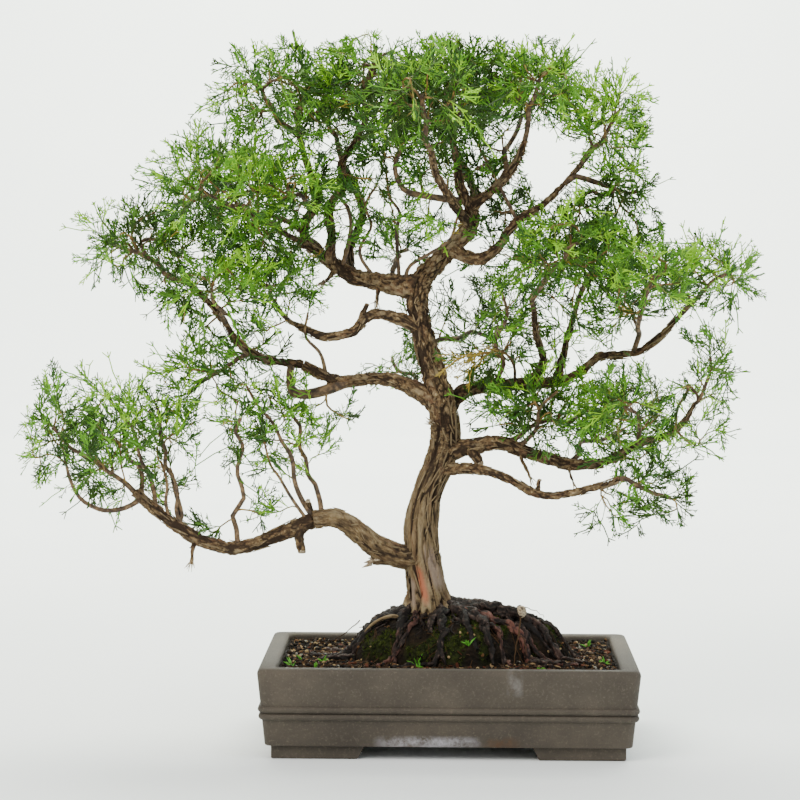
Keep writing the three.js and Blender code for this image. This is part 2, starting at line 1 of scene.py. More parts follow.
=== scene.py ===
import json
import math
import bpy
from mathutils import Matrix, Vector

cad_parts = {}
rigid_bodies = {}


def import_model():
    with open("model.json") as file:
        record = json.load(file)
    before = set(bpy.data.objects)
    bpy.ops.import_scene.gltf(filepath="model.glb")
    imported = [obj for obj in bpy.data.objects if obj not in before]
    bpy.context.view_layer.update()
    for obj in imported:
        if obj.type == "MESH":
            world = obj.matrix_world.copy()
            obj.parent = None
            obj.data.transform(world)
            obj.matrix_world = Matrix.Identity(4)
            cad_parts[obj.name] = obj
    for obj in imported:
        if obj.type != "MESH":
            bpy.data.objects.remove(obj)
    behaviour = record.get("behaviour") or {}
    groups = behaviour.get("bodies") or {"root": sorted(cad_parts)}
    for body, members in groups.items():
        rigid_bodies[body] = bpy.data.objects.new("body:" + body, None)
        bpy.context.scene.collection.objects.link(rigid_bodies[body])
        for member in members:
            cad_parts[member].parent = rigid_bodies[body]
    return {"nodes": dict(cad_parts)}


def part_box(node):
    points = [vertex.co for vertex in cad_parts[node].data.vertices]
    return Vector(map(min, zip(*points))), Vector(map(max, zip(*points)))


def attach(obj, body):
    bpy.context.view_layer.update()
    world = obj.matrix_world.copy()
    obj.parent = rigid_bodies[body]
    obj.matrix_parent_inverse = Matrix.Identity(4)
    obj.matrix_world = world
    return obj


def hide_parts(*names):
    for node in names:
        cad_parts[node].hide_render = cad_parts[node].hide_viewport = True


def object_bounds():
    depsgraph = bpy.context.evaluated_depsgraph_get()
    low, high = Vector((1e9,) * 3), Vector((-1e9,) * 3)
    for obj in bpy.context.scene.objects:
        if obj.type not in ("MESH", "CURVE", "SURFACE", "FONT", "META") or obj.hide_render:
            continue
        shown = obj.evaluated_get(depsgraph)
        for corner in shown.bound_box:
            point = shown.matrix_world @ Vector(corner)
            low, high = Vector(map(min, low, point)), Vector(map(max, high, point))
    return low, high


bl_info = {
    "name": "Juniper bonsai",
    "version": (1, 0, 0),
    "blender": (4, 5, 0),
    "location": "3D View > Sidebar > Bonsai",
    "description": "Grows a bent juniper in a shallow footed pot, with its bark, foliage, roots and soil",
    "category": "Add Mesh",
}

import bmesh
import bpy
import numpy as np
from bpy.props import FloatProperty, FloatVectorProperty, IntProperty, PointerProperty
from mathutils import Matrix, Vector, noise
from numpy.linalg import norm

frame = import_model()
CAD_BOX = [list(corner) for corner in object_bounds()]

# Where the plant stands. Its limbs are measured in millimetres from the middle of the pot, on the table.
MM = 0.001
POT_LOW, POT_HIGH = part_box("pot")
POT_LENGTH, POT_WIDTH = POT_HIGH.x - POT_LOW.x, POT_HIGH.y - POT_LOW.y
POT_MIDDLE = Vector(((POT_LOW.x + POT_HIGH.x) / 2, (POT_LOW.y + POT_HIGH.y) / 2, 0))
FOLIAGE_NODES = sorted(name for name in frame["nodes"] if name.startswith("foliage_"))
BOUGH_NODES = sorted(name for name in frame["nodes"] if name.startswith("bough_"))

# The trunk's middle line from the soil to its tip, and its radius at even steps along it.
TRUNK = {
    "name": "trunk",
    "route": [
        (-13, 0, 84), (-15, 0, 102), (-18, 0, 122), (-19, 1, 146), (-15, 4, 168), (-7, 8, 188),
        (-3, 8, 206), (-6, 4, 230), (-13, 0, 254), (-19, -4, 278), (-23, -3, 298), (-18, 2, 314),
        (-4, 8, 329), (11, 10, 345), (13, 8, 358), (6, 5, 376), (3, 4, 396),
    ],
    "girth": [16, 12.4, 11.8, 10.8, 9.6, 9.6, 9.8, 9.2, 8, 7.2, 7.6, 7.2, 6.3, 5.6, 4.6, 3.4, 2.2],
}

# Roots that show on the mound: compass angle from +X, reach, radius at the trunk, swing to the side.
ROOTS = [
    (-8, 84, 5.4, 6), (14, 58, 6.0, -4), (-48, 66, 4.6, 7), (-82, 54, 4.4, 5), (-128, 56, 4.8, -6),
    (-172, 78, 4.8, 5), (142, 64, 4.2, 6), (98, 54, 4.6, -7), (52, 62, 4.4, 5),
]

# More roots that lie on the mound: places along X and Y, how high each starts and ends above the soil,
# its radius along it, and how red its bark is.
MOUND_ROOTS = [
    ([(-2, -7), (16, -10), (34, -10), (48, -13)], (2.0, 7.4), [4.6, 4.2, 3.8, 4.0], 0),
    ([(4, -10), (27, -18), (48, -24), (59, -32), (76, -44)], (1.8, 1.2), [3.4, 2.8, 3.0, 2.4, 1.2], 0.7),
    ([(-6, -11), (-4, -22), (-5, -34), (-2, -50)], (1.8, 1.6), [4.4, 4.0, 3.2, 1.4], 0),
    ([(2, -10), (16, -20), (25, -34), (29, -50)], (1.8, 1.8), [4.4, 4.0, 3.4, 1.4], 0),
    ([(-22, -6), (-42, -9), (-58, -14), (-70, -22), (-86, -30)], (1.2, 1.0), [4.6, 4.0, 3.4, 2.6, 1.2], 0),
    ([(-20, -10), (-26, -24), (-36, -38), (-40, -52)], (0.8, 1.2), [2.6, 2.2, 1.8, 0.9], 0.3),
    ([(14, 4), (44, 8), (68, 2), (88, -8)], (1.4, 1.0), [3.4, 3.0, 2.2, 1.0], 0),
    ([(30, -12), (50, -22), (58, -38), (68, -52)], (0.9, 1.2), [3.0, 2.6, 2.0, 0.9], 0.2),
    ([(-24, 4), (-46, 12), (-66, 10), (-84, 16)], (0.6, 0.8), [3.4, 2.8, 2.0, 1.0], 0),
    ([(0, 12), (16, 26), (20, 42), (34, 54)], (0.6, 1.0), [3.8, 3.0, 2.2, 1.0], 0.4),
    ([(-16, 12), (-26, 28), (-24, 44), (-38, 54)], (0.6, 1.0), [3.6, 2.8, 2.0, 1.0], 0),
    ([(22, -20), (31, -30), (38, -39), (43, -50)], (1.4, 1.4), [2.2, 2.0, 1.6, 0.9], 0.5),
    ([(44, -9), (57, -12), (71, -17), (84, -26), (94, -38)], (1.8, 1.2), [3.2, 3.0, 2.5, 1.8, 0.9], 0.2),
    ([(-22, -24), (-31, -35), (-43, -43), (-47, -55)], (1.4, 1.2), [2.0, 1.8, 1.5, 0.8], 0.6),
    ([(-6, -42), (-12, -50), (-23, -51), (-37, -57)], (1.2, 1.2), [2.4, 2.2, 1.8, 1.0], 0),
    ([(50, -20), (64, -26), (74, -34), (86, -46)], (1.2, 1.0), [2.2, 2.0, 1.7, 0.8], 0.5),
]

# A thin dead root that arches over the mound: places along X and Y and the height above the soil.
DEAD_ROOT = [
    (-63, -13, 0), (-57, -15, 2.8), (-49, -16, 4.2), (-40, -17, 4.4), (-33, -19, 2.6), (-28, -21, -0.6),
]

# Boughs: the limb each springs from, its radius at even steps, and its route to the tip.
BOUGHS = [
    ("bough_low_left_inner", "trunk", [9, 8.4, 7.4, 6.6, 6],
     [(-17, 0, 124), (-36, -4, 126), (-52, -9, 134), (-65, -13, 145), (-78, -16, 152),
      (-92, -18, 151)]),
    ("bough_low_left_outer", "bough_low_left_inner", [5.8, 4.6, 4.4, 3.2],
     [(-93, -18, 151), (-117, -20, 140), (-142, -22, 132), (-166, -24, 137), (-191, -26, 153),
      (-211, -28, 170)]),
    ("bough_mid_left_inner", "trunk", [6.4, 4.8, 4.2, 3.6],
     [(-8, 2, 227), (-31, 4, 241), (-51, 8, 245), (-76, 8, 243), (-100, 6, 254)]),
    ("bough_mid_left_outer", "bough_mid_left_inner", [3.4, 2.8, 2.2, 1.8],
     [(-101, 6, 254), (-126, 4, 258), (-144, 2, 269), (-156, 0, 287), (-172, -1, 304)]),
    ("bough_left_spur", "trunk", [4.2, 3.5, 3.2, 2.2],
     [(-21, -4, 281), (-45, -12, 289), (-57, -16, 286), (-66, -17, 277), (-86, -12, 274),
      (-104, 2, 281)]),
    ("bough_high_left", "trunk", [6.8, 5.8, 4.6, 3.0],
     [(-22, 0, 306), (-45, 8, 310), (-67, 14, 314), (-86, 14, 327), (-103, 6, 338)]),
    ("bough_high_left_rise", "bough_high_left", [3.2, 2.6, 2.0],
     [(-97, 10, 334), (-100, 13, 348), (-91, 9, 364), (-94, 5, 379), (-99, 2, 394)]),
    ("bough_high_left_crown", "bough_high_left", [3.6, 2.8, 2.0],
     [(-82, 14, 325), (-81, 8, 342), (-82, 4, 359), (-73, 4, 376), (-74, 2, 390), (-65, 3, 405)]),
    ("bough_crown_back_left", "bough_high_left", [3.6, 2.8, 2.0],
     [(-68, 14, 315), (-70, 34, 332), (-61, 50, 356), (-66, 60, 372), (-76, 66, 392)]),
    ("bough_crown_front", "trunk", [3.8, 3.0, 2.0],
     [(12, 10, 350), (2, -14, 362), (-9, -38, 380), (-14, -56, 398)]),
    ("bough_crown_back", "trunk", [3.8, 3.0, 2.0],
     [(12, 9, 354), (16, 34, 370), (9, 56, 388), (3, 68, 400)]),
    ("bough_crown_right", "trunk", [3.6, 2.8, 2.0],
     [(12, 9, 360), (30, 4, 375), (43, 0, 390), (49, -6, 406)]),
    ("bough_shoulder", "trunk", [4.2, 3.4, 2.8],
     [(1, 8, 332), (17, 0, 326), (29, -4, 332), (38, -6, 344), (45, -6, 353)]),
    ("bough_shoulder_end", "bough_shoulder", [2.6, 2.2, 1.6],
     [(45, -6, 353), (60, -2, 362), (75, 2, 376), (87, 4, 390)]),
    ("bough_mid_right_inner", "trunk", [5.4, 4.4, 4.2, 3.2],
     [(-5, 6, 222), (5, 14, 233), (20, 18, 239), (48, 22, 241), (73, 24, 242), (89, 22, 249)]),
    ("bough_mid_right_outer", "bough_mid_right_inner", [3.0, 2.8, 2.0],
     [(89, 22, 249), (102, 20, 260), (126, 18, 263), (143, 12, 275), (156, 6, 290)]),
    ("bough_mid_right_rise", "bough_mid_right_inner", [3.2, 2.6, 2.0],
     [(55, 22, 242), (63, 14, 256), (58, 2, 274), (56, -8, 292)]),
    ("bough_mid_right_back", "bough_mid_right_inner", [3.0, 2.4, 1.8],
     [(73, 24, 243), (78, 32, 264), (85, 38, 288)]),
    ("bough_low_right_inner", "trunk", [5.6, 5.0, 4.4, 3.4],
     [(-2, 8, 194), (14, 4, 199), (34, 2, 202), (57, 2, 194), (81, 0, 188), (104, -1, 189)]),
    ("bough_low_right_outer", "bough_low_right_inner", [3.2, 2.6, 1.6],
     [(105, -1, 189), (128, -4, 202), (152, -6, 212), (165, -8, 230)]),
    ("bough_low_right_under", "trunk", [4.0, 3.0, 2.9, 1.9],
     [(-6, 6, 181), (14, -6, 185), (37, -18, 180), (63, -26, 169), (96, -32, 175), (113, -34, 181)]),
]

# Pads of foliage: name, the limb that carries it, where its stem springs (None is the limb's tip),
# its middle, its reach along X, Y and Z, and how full it is.
PADS = [
    ("foliage_apex", "trunk", None, (2, 4, 446), (38, 42, 29), 1.35),
    ("foliage_crown_front", "bough_crown_front", None, (-17, -70, 424), (42, 41, 36), 0.95),
    ("foliage_crown_back", "bough_crown_back", None, (-2, 84, 436), (42, 40, 32), 1.0),
    ("foliage_crown_left", "bough_high_left_crown", None, (-58, -4, 444), (35, 46, 31), 1.35),
    ("foliage_crown_right", "bough_crown_right", None, (54, -14, 440), (33, 44, 31), 1.15),
    ("foliage_crown_back_left", "bough_crown_back_left", None, (-84, 78, 426), (38, 36, 33), 1.0),
    ("foliage_crown_back_right", "bough_crown_right", (32, 4, 377), (58, 66, 443), (32, 36, 27), 1.0),
    ("foliage_upper_left", "bough_high_left_rise", None, (-116, -12, 431), (43, 46, 38), 1.15),
    ("foliage_shoulder", "bough_shoulder_end", None, (102, 0, 417), (30, 36, 30), 1.5),
    ("foliage_shoulder_low", "bough_shoulder_end", (76, 2, 377), (116, 12, 377), (17, 25, 22), 1.5),
    ("foliage_left_inner", "bough_high_left_rise", (-95, 9, 360), (-102, -24, 374), (25, 28, 27), 1.0),
    ("foliage_left_front", "bough_high_left", None, (-154, -36, 371), (44, 42, 37), 1.1),
    ("foliage_left_back", "bough_high_left", (-84, 14, 326), (-146, 54, 366), (40, 38, 34), 1.0),
    ("foliage_far_left", "bough_mid_left_outer", None, (-214, 0, 334), (36, 38, 27), 1.0),
    ("foliage_left_low_front", "bough_mid_left_outer", (-152, 1, 280), (-156, -38, 304), (42, 36, 25), 0.9),
    ("foliage_left_low_back", "bough_left_spur", None, (-124, 38, 308), (36, 36, 27), 0.9),
    ("foliage_left_hanging", "bough_mid_left_outer", (-132, 3, 261), (-168, 14, 248), (24, 30, 27), 0.5),
    ("foliage_low_left_tip", "bough_low_left_outer", None, (-247, -32, 206), (47, 44, 42), 0.75),
    ("foliage_low_left_heel", "bough_low_left_outer", (-182, -25, 147), (-194, -4, 214), (31, 36, 40), 0.6),
    ("foliage_low_left_back", "bough_low_left_outer", (-202, -27, 162), (-230, 48, 202), (34, 32, 32), 0.5),
    ("foliage_low_left_rise", "bough_low_left_outer", (-142, -22, 132), (-140, -26, 205),
     (26, 30, 42), 0.34),
    ("foliage_low_left_inner", "bough_low_left_inner", (-86, -17, 154), (-104, 4, 213), (26, 32, 40), 0.36),
    ("foliage_right_front", "bough_mid_right_rise", None, (72, -32, 331), (46, 38, 34), 0.9),
    ("foliage_right_back", "bough_mid_right_back", None, (96, 54, 323), (42, 38, 28), 1.0),
    ("foliage_far_right", "bough_mid_right_outer", None, (173, 2, 314), (38, 38, 25), 1.1),
    ("foliage_right_outer_front", "bough_mid_right_outer", (124, 18, 263), (131, -44, 314),
     (33, 36, 25), 1.0),
    ("foliage_near_right", "trunk", (-14, 0, 262), (31, 62, 281), (32, 36, 32), 0.4),
    ("foliage_low_right_tip", "bough_low_right_outer", None, (171, -8, 251), (21, 27, 29), 0.9),
    ("foliage_low_right_front", "bough_low_right_outer", (127, -4, 201), (122, -30, 228),
     (34, 34, 26), 0.7),
    ("foliage_low_right_inner", "bough_low_right_inner", (38, 2, 201), (68, 10, 219), (36, 34, 22), 0.7),
    ("foliage_low_right_back", "bough_low_right_inner", (80, 0, 188), (112, 56, 210), (36, 34, 26), 0.9),
    ("foliage_low_right_hanging", "bough_low_right_under", None, (136, -32, 177), (29, 34, 19), 0.4),
    ("foliage_near_left", "trunk", (-5, 7, 214), (-37, 78, 254), (27, 32, 27), 0.6),
    ("foliage_high_back", "bough_high_left", (-40, 7, 309), (-34, 66, 336), (21, 26, 20), 0.8),
]

# Stumps and torn ends: limb, the place where each springs, its way, length, radius and how it ended.
STUBS = [
    ("bough_low_left_inner", (-27, -2, 125), (-1.0, -0.3, -0.06), 20, 6.0, "torn"),
    ("bough_low_left_outer", (-98, -19, 148), (-0.35, -0.5, -1.0), 17, 3.6, "cut"),
    ("bough_low_left_outer", (-94, -18, 150), (0.1, 0.2, 1.0), 12, 2.2, "cut"),
    ("bough_low_left_outer", (-170, -24, 138), (-0.3, -0.4, -1.0), 15, 1.8, "torn"),
    ("bough_left_spur", (-60, -17, 284), (0.1, 0.2, 1.0), 11, 2.2, "cut"),
    ("bough_high_left", (-50, 10, 310), (0.05, -0.5, -1.0), 14, 1.8, "torn"),
    ("bough_high_left", (-78, 14, 320), (-0.5, -0.5, -0.8), 15, 2.0, "torn"),
    ("bough_low_right_inner", (14, 4, 199), (0.3, -0.6, -0.7), 12, 3.6, "cut"),
    ("bough_low_right_under", (58, -25, 170), (0.2, -0.3, 1.0), 8, 1.8, "cut"),
    ("bough_low_right_inner", (46, 2, 199), (0.35, -0.4, -0.9), 20, 1.3, "torn"),
    ("bough_low_right_inner", (80, 0, 188), (0.2, -0.5, -0.9), 14, 1.2, "torn"),
    ("trunk", (-4, 6, 212), (-0.9, -0.7, 0.4), 13, 2.4, "torn"),
]

# How stringy the bark of a bough is, where it isn't flaky.
BARK_FIBRE = {"bough_low_left_inner": 0.5, "bough_low_left_outer": 0.12}

# Thin growth between the pads: its middle, its reach along X, Y and Z, and its number of twigs.
THIN_GROWTH = [
    ((-48, 8, 372), (60, 42, 40), 120),
    ((46, 0, 224), (34, 24, 15), 40),
    ((-8, 10, 404), (58, 44, 34), 110),
    ((30, 22, 372), (28, 26, 36), 70),
    ((36, 0, 338), (34, 34, 22), 40),
    ((104, 0, 352), (36, 28, 24), 80),
    ((22, 16, 277), (32, 36, 44), 38),
    ((24, -10, 259), (18, 10, 8), 18),
    ((60, 8, 282), (44, 36, 30), 50),
    ((110, 10, 300), (50, 38, 22), 65),
    ((74, 8, 240), (64, 38, 30), 62),
    ((100, -4, 204), (66, 36, 26), 60),
    ((122, -24, 166), (42, 24, 20), 30),
    ((168, -6, 226), (20, 22, 32), 26),
    ((-172, 4, 330), (56, 42, 38), 110),
    ((-122, 8, 334), (44, 38, 34), 80),
    ((-148, 6, 262), (40, 34, 36), 66),
    ((-116, -4, 214), (48, 30, 40), 48),
    ((-72, 0, 219), (12, 10, 7), 10),
    ((-214, -6, 190), (56, 36, 42), 40),
    ((-162, -17, 144), (9, 7, 7), 24),
    ((-228, -26, 175), (17, 14, 14), 16),
    ((-127, -22, 152), (20, 10, 12), 24),
    ((-24, 14, 262), (16, 20, 40), 14),
]

# Where the crown is open from front to back: middle along X and Z, half width and half height.
GAPS = [
    (65, 392, 13, 25), (-43, 196, 25, 34), (-64, 270, 30, 17), (-62, 298, 26, 8), (-160, 172, 10, 26),
    (-66, 174, 32, 20), (146, 262, 15, 15), (40, 180, 60, 8), (-163, 200, 6, 34),
]

# Limbs that show bare from the front, from one share of their length to another.
BARE_LIMBS = [
    ("trunk", 0, 0.78), ("bough_low_left_inner", 0, 1), ("bough_low_left_outer", 0, 0.7),
    ("bough_high_left", 0, 0.6), ("bough_mid_left_inner", 0, 1), ("bough_left_spur", 0, 0.7),
    ("bough_shoulder", 0, 1), ("bough_shoulder_end", 0, 0.7), ("bough_mid_right_inner", 0, 0.35),
    ("bough_mid_right_outer", 0.2, 0.9), ("bough_low_right_inner", 0, 0.5),
    ("bough_low_right_under", 0, 0.7),
]

# The thin limb that crosses before the trunk and has dried.
DRY_LIMB = [(44, 22, 240), (43, 8, 254), (35, -6, 264), (21, -14, 263), (5, -17, 260)]

# Bare thin limbs that show between the boughs: the limb each springs from, its radius and its route.
THIN_LIMBS = [
    ("bough_high_left", [1.7, 1.3, 1.0],
     [(-75, 14, 318), (-68, 8, 345), (-70, 4, 360), (-77, 2, 371), (-73, 0, 388)]),
    ("bough_high_left", [1.6, 1.2, 0.9],
     [(-31, 4, 309), (-28, -8, 321), (-14, -14, 330), (-1, -14, 339), (4, -12, 354)]),
    ("bough_high_left", [1.4, 1.1, 0.8],
     [(-34, 6, 310), (-37, 12, 343), (-35, 14, 357), (-42, 12, 368), (-44, 8, 382)]),
    ("trunk", [2.6, 2.0, 1.3],
     [(8, 8, 364), (-14, 2, 368), (-31, -2, 372), (-38, -4, 386), (-34, -8, 400)]),
    ("bough_shoulder", [1.3, 1.1, 0.8], [(44, -6, 352), (38, -2, 364), (31, 2, 378), (19, 4, 400)]),
    ("bough_high_left", [1.3, 1.0, 0.8],
     [(-50, 10, 311), (-62, 4, 330), (-54, 2, 348), (-58, 0, 362), (-50, -2, 376)]),
    ("bough_low_left_inner", [1.9, 1.6, 1.2, 0.8],
     [(-91, -18, 152), (-99, -20, 164), (-104, -22, 177), (-106, -22, 193), (-113, -20, 204),
      (-119, -18, 216), (-130, -14, 228), (-137, -10, 240)]),
    ("bough_low_left_outer", [1.3, 1.0, 0.7],
     [(-95, -19, 150), (-106, -24, 166), (-114, -26, 180), (-120, -28, 189), (-124, -28, 204)]),
    ("bough_mid_left_inner", [4.0, 3.6, 3.0, 2.2],
     [(-70, 8, 243), (-84, 6, 237), (-98, 4, 234), (-107, 4, 236), (-109, 5, 246), (-108, 5, 256)]),
    ("bough_mid_left_inner", [0.9, 0.7, 0.4],
     [(-86, 6, 238), (-84, 2, 228), (-76, 0, 221), (-68, -2, 217)]),
    ("bough_low_left_outer", [1.3, 1.1, 0.8],
     [(-187, -26, 150), (-190, -27, 162), (-189, -28, 176), (-193, -28, 190)]),
    ("bough_low_left_outer", [1.6, 1.3, 0.9],
     [(-176, -25, 142), (-183, -27, 156), (-182, -27, 170), (-187, -28, 186)]),
    ("bough_low_left_outer", [1.8, 1.6, 1.3, 1.0],
     [(-205, -28, 166), (-218, -30, 159), (-232, -32, 158), (-246, -32, 165), (-253, -34, 178),
      (-256, -34, 190)]),
    ("bough_low_left_outer", [1.7, 1.4, 1.1, 0.9],
     [(-196, -27, 158), (-200, -22, 176), (-208, -20, 192), (-212, -22, 210), (-222, -24, 224)]),
    ("bough_mid_left_inner", [1.6, 1.2, 0.9],
     [(-84, 8, 246), (-88, -2, 262), (-98, -6, 274), (-96, -8, 290)]),
    ("bough_mid_right_inner", [1.8, 1.4, 1.0],
     [(30, 19, 240), (36, 8, 256), (30, 0, 270), (38, -4, 288), (34, -6, 304)]),
    ("bough_low_right_inner", [1.7, 1.3, 0.9],
     [(46, 2, 199), (58, -8, 212), (60, -10, 226), (72, -12, 238)]),
    ("bough_mid_right_inner", [1.1, 0.7, 0.4], DRY_LIMB),
]

# Marks on the front of the trunk: "red" for young bark under a shed strip, "grey" for bare wood,
# "shade" for painted shade that darkens the bark down its sides and under the low bough, and "groove"
# for a deep split; half its width, and its line along X and Z.
TRUNK_MARKS = [
    ("red", 2.6, [(-22.5, 121), (-20, 112), (-17, 102), (-15, 91)]),
    ("grey", 3.8, [(-17, 136), (-13, 124), (-9, 112), (-4, 100)]),
    ("grey", 2.2, [(-25, 112), (-25, 100), (-24, 88)]),
    ("groove", 0.8, [(-10, 133), (-8.5, 126), (-6, 118)]),
    ("groove", 0.7, [(-17, 146), (-15, 134), (-15, 120), (-12, 108), (-9, 94)]),
    ("groove", 0.9, [(-27, 128), (-24, 117), (-21, 104), (-19, 90)]),
    ("groove", 0.8, [(-7, 190), (-12, 174), (-15, 160), (-14, 146), (-11, 136)]),
    ("groove", 1.2, [(-8, 178), (-10, 168), (-11, 158)]),
    ("groove", 0.7, [(-2, 186), (-5, 172), (-7, 160), (-8, 150)]),
    ("groove", 0.8, [(-19, 176), (-24, 160), (-26, 146), (-27, 136)]),
    ("groove", 0.9, [(2, 210), (0, 196), (-4, 184)]),
    ("groove", 0.9, [(-9, 222), (-8, 208), (-10, 196), (-14, 186)]),
    ("groove", 1.5, [(-29, 116), (-28, 104), (-27, 90)]),
    ("groove", 1.3, [(-21.5, 97), (-21, 90), (-21, 82)]),
    ("groove", 1.5, [(-12, 100), (-10.5, 92), (-10, 82)]),
    ("groove", 1.3, [(-5, 98), (-4, 91), (-4, 82)]),
    ("groove", 1.2, [(1, 96), (2, 90), (3, 82)]),
    # Painted shade down the trunk's left side, under the low bough and along its front.
    ("shade", 3.4, [(-29, 310), (-28, 296), (-24, 276), (-20, 258), (-16, 240), (-12, 222)]),
    ("shade", 3.2, [(-29, 122), (-28.5, 106), (-28, 86)]),
    ("shade", 2.8, [(-4, 200), (-8, 178), (-11, 158), (-10, 138)]),
    ("shade", 2.4, [(-30, 158), (-31, 142), (-29, 126)]),
    ("shade", 2.0, [(-1, 190), (-5, 168), (-7, 146), (-5, 128)]),
]

# Dead twigs that lean on the mound, each with its radius, and seedlings as X, Y and height.
LEANING_TWIGS = [
    ([(48, -30, 88), (46, -40, 78), (44, -49, 68), (42, -56, 58)], 0.6),
    ([(46, -40, 78), (50, -46, 74), (51, -52, 66)], 0.4),
    ([(50, -12, 92), (58, -14, 90), (64, -17, 86)], 0.35),
    ([(-62, 30, 76), (-70, 36, 68), (-80, 44, 60)], 0.5),
]
SEEDLINGS = [
    (-21, -44, 11), (13, -45, 9), (-84, -34, 8), (-104, -46, 11), (-88, -57, 8), (-99, -20, 7), (96, 40, 9),
    (-60, 54, 8), (38, 56, 9), (104, -30, 7), (-20, -58, 6), (60, -56, 6),
]

STEM = {"radius": 1.9, "tip": 1.1, "past": 0.5, "drop": 0.2}
SOIL_LEVEL = 57
MOUND = {"x": 7, "y": 0, "rx": 78, "ry": 46, "height": 31, "fullness": 2.6}
GOLDEN_ANGLE = math.pi * (3 - math.sqrt(5))
UP = np.array((0.0, 0.0, 1.0))


# Colours and nodes

def linear(colour):
    """A hex colour as linear red, green, blue and alpha."""
    parts = [int(colour[i:i + 2], 16) / 255 for i in (1, 3, 5)]
    return [c / 12.92 if c <= 0.04045 else ((c + 0.055) / 1.055) ** 2.4 for c in parts] + [1.0]


def plug(tree, socket, value):
    """Gives a socket its value, or links another socket to it."""
    if isinstance(value, bpy.types.NodeSocket):
        tree.links.new(value, socket)
    else:
        socket.default_value = value


def add_node(tree, kind, settings=None, stops=(), **inputs):
    """A shader node with its settings, its links and, on a ramp, its stops as pairs of place and colour."""
    node = tree.nodes.new("ShaderNode" + kind)
    for name, value in (settings or {}).items():
        setattr(node, name, value)
    if stops:
        elements = node.color_ramp.elements
        while len(elements) < len(stops):
            elements.new(1.0)
        for element, (place, colour) in zip(elements, stops):
            element.position = place
            element.color = linear(colour)
    for name, value in inputs.items():
        plug(tree, node.inputs[int(name[1:])] if name[0] == "_" else node.inputs[name], value)
    return node


def new_material(name):
    """An empty material with its output and principled shader."""
    material = bpy.data.materials.new(name)
    material.use_nodes = True
    tree = material.node_tree
    tree.nodes.clear()
    shader = add_node(tree, "BsdfPrincipled")
    output = add_node(tree, "OutputMaterial")
    tree.links.new(shader.outputs["BSDF"], output.inputs["Surface"])
    return material, tree, shader


def coat(tree, under, layers):
    """Layers of colour over a surface, each by a source and its range, with a strength and a colour."""
    for source, low, high, strength, colour in layers:
        share = add_node(tree, "MapRange", Value=source, _1=low, _2=high, _3=0.0, _4=strength)
        under = add_node(tree, "Mix", {"data_type": "RGBA"}, _0=share.outputs["Result"], _6=under,
                         _7=colour).outputs[2]
    return under


def finish_surface(tree, shader, colour, roughness, specular, bumps, strength, depth):
    """Sets a surface's colour and gloss, and how strong and deep the bumps of its pattern are."""
    plug(tree, shader.inputs["Base Color"], colour)
    plug(tree, shader.inputs["Roughness"], roughness)
    plug(tree, shader.inputs["Specular IOR Level"], specular)
    bump = add_node(tree, "Bump", Height=bumps, Strength=strength, Distance=depth)
    plug(tree, shader.inputs["Normal"], bump.outputs["Normal"])


# Shapes from arrays

def join_parts(parts):
    """Several (points, faces) as one."""
    points = np.vstack([part[0] for part in parts])
    counts = np.cumsum([0] + [len(part[0]) for part in parts[:-1]])
    faces = np.vstack([part[1] + start for part, start in zip(parts, counts)])
    return points, faces


def mesh_piece(name, parts, material, replaces=(), attributes=None, smooth=True):
    """A mesh object from millimetre points and triangles, standing in its place on the plant."""
    points, faces = join_parts(parts)
    mesh = bpy.data.meshes.new(name)
    mesh.vertices.add(len(points))
    placed = points * MM + np.array(POT_MIDDLE)
    mesh.vertices.foreach_set("co", placed.astype(np.float32).ravel())
    mesh.loops.add(faces.size)
    mesh.loops.foreach_set("vertex_index", faces.astype(np.int32).ravel())
    mesh.polygons.add(len(faces))
    mesh.polygons.foreach_set("loop_start", np.arange(0, faces.size, 3, dtype=np.int32))
    mesh.polygons.foreach_set("use_smooth", np.full(len(faces), smooth))
    for key, (kind, values) in (attributes or {}).items():
        attribute = mesh.attributes.new(key, kind, "POINT")
        field = "vector" if kind == "FLOAT_VECTOR" else "value"
        attribute.data.foreach_set(field, values.astype(np.float32).ravel())
    mesh.update()
    mesh.validate()
    mesh.materials.append(material)
    piece = bpy.data.objects.new(name, mesh)
    bpy.context.scene.collection.objects.link(piece)
    return settle(piece, replaces)


def settle(piece, replaces=()):
    """The piece rides on the plant and stands for its solids, which it hides."""
    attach(piece, "root")
    if replaces:
        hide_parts(*replaces)
    return piece


def smooth_line(route):
    """A curve through the points of a route, as a function of 0 to 1."""
    points = np.array(route, float)
    first = 2 * points[0] - points[1]
    last = 2 * points[-1] - points[-2]
    padded = np.vstack([first, points, last])
    spans = len(points) - 1

    def place(t):
        along = np.clip(np.asarray(t, float), 0, 1) * spans
        k = np.minimum(along.astype(int), spans - 1)
        w = (along - k)[..., None]
        p0, p1, p2, p3 = (padded[k + i] for i in range(4))
        m1, m2 = (p2 - p0) / 2, (p3 - p1) / 2
        return ((2 * w**3 - 3 * w**2 + 1) * p1 + (w**3 - 2 * w**2 + w) * m1
                + (3 * w**2 - 2 * w**3) * p2 + (w**3 - w**2) * m2)

    return place


def directions(points):
    """The way along a row of points, at each point."""
    way = np.gradient(points, axis=0)
    return way / np.maximum(norm(way, axis=1, keepdims=True), 1e-9)


def running_length(points):
    """How far along a row of points each one lies."""
    return np.concatenate([[0], np.cumsum(norm(np.diff(points, axis=0), axis=1))])


def unit(vector):
    """One way, one long."""
    return vector / max(norm(vector), 1e-9)


def ring_axes(ways):
    """Two axes across the way at each point, turning as little as they can."""
    across = np.cross(ways[0], UP if abs(ways[0][2]) < 0.9 else np.array((0.0, 1.0, 0.0)))
    rows = []
    for way in ways:
        across = unit(across - way * np.dot(across, way))
        rows.append(across)
    first = np.array(rows)
    return first, np.cross(ways, first)


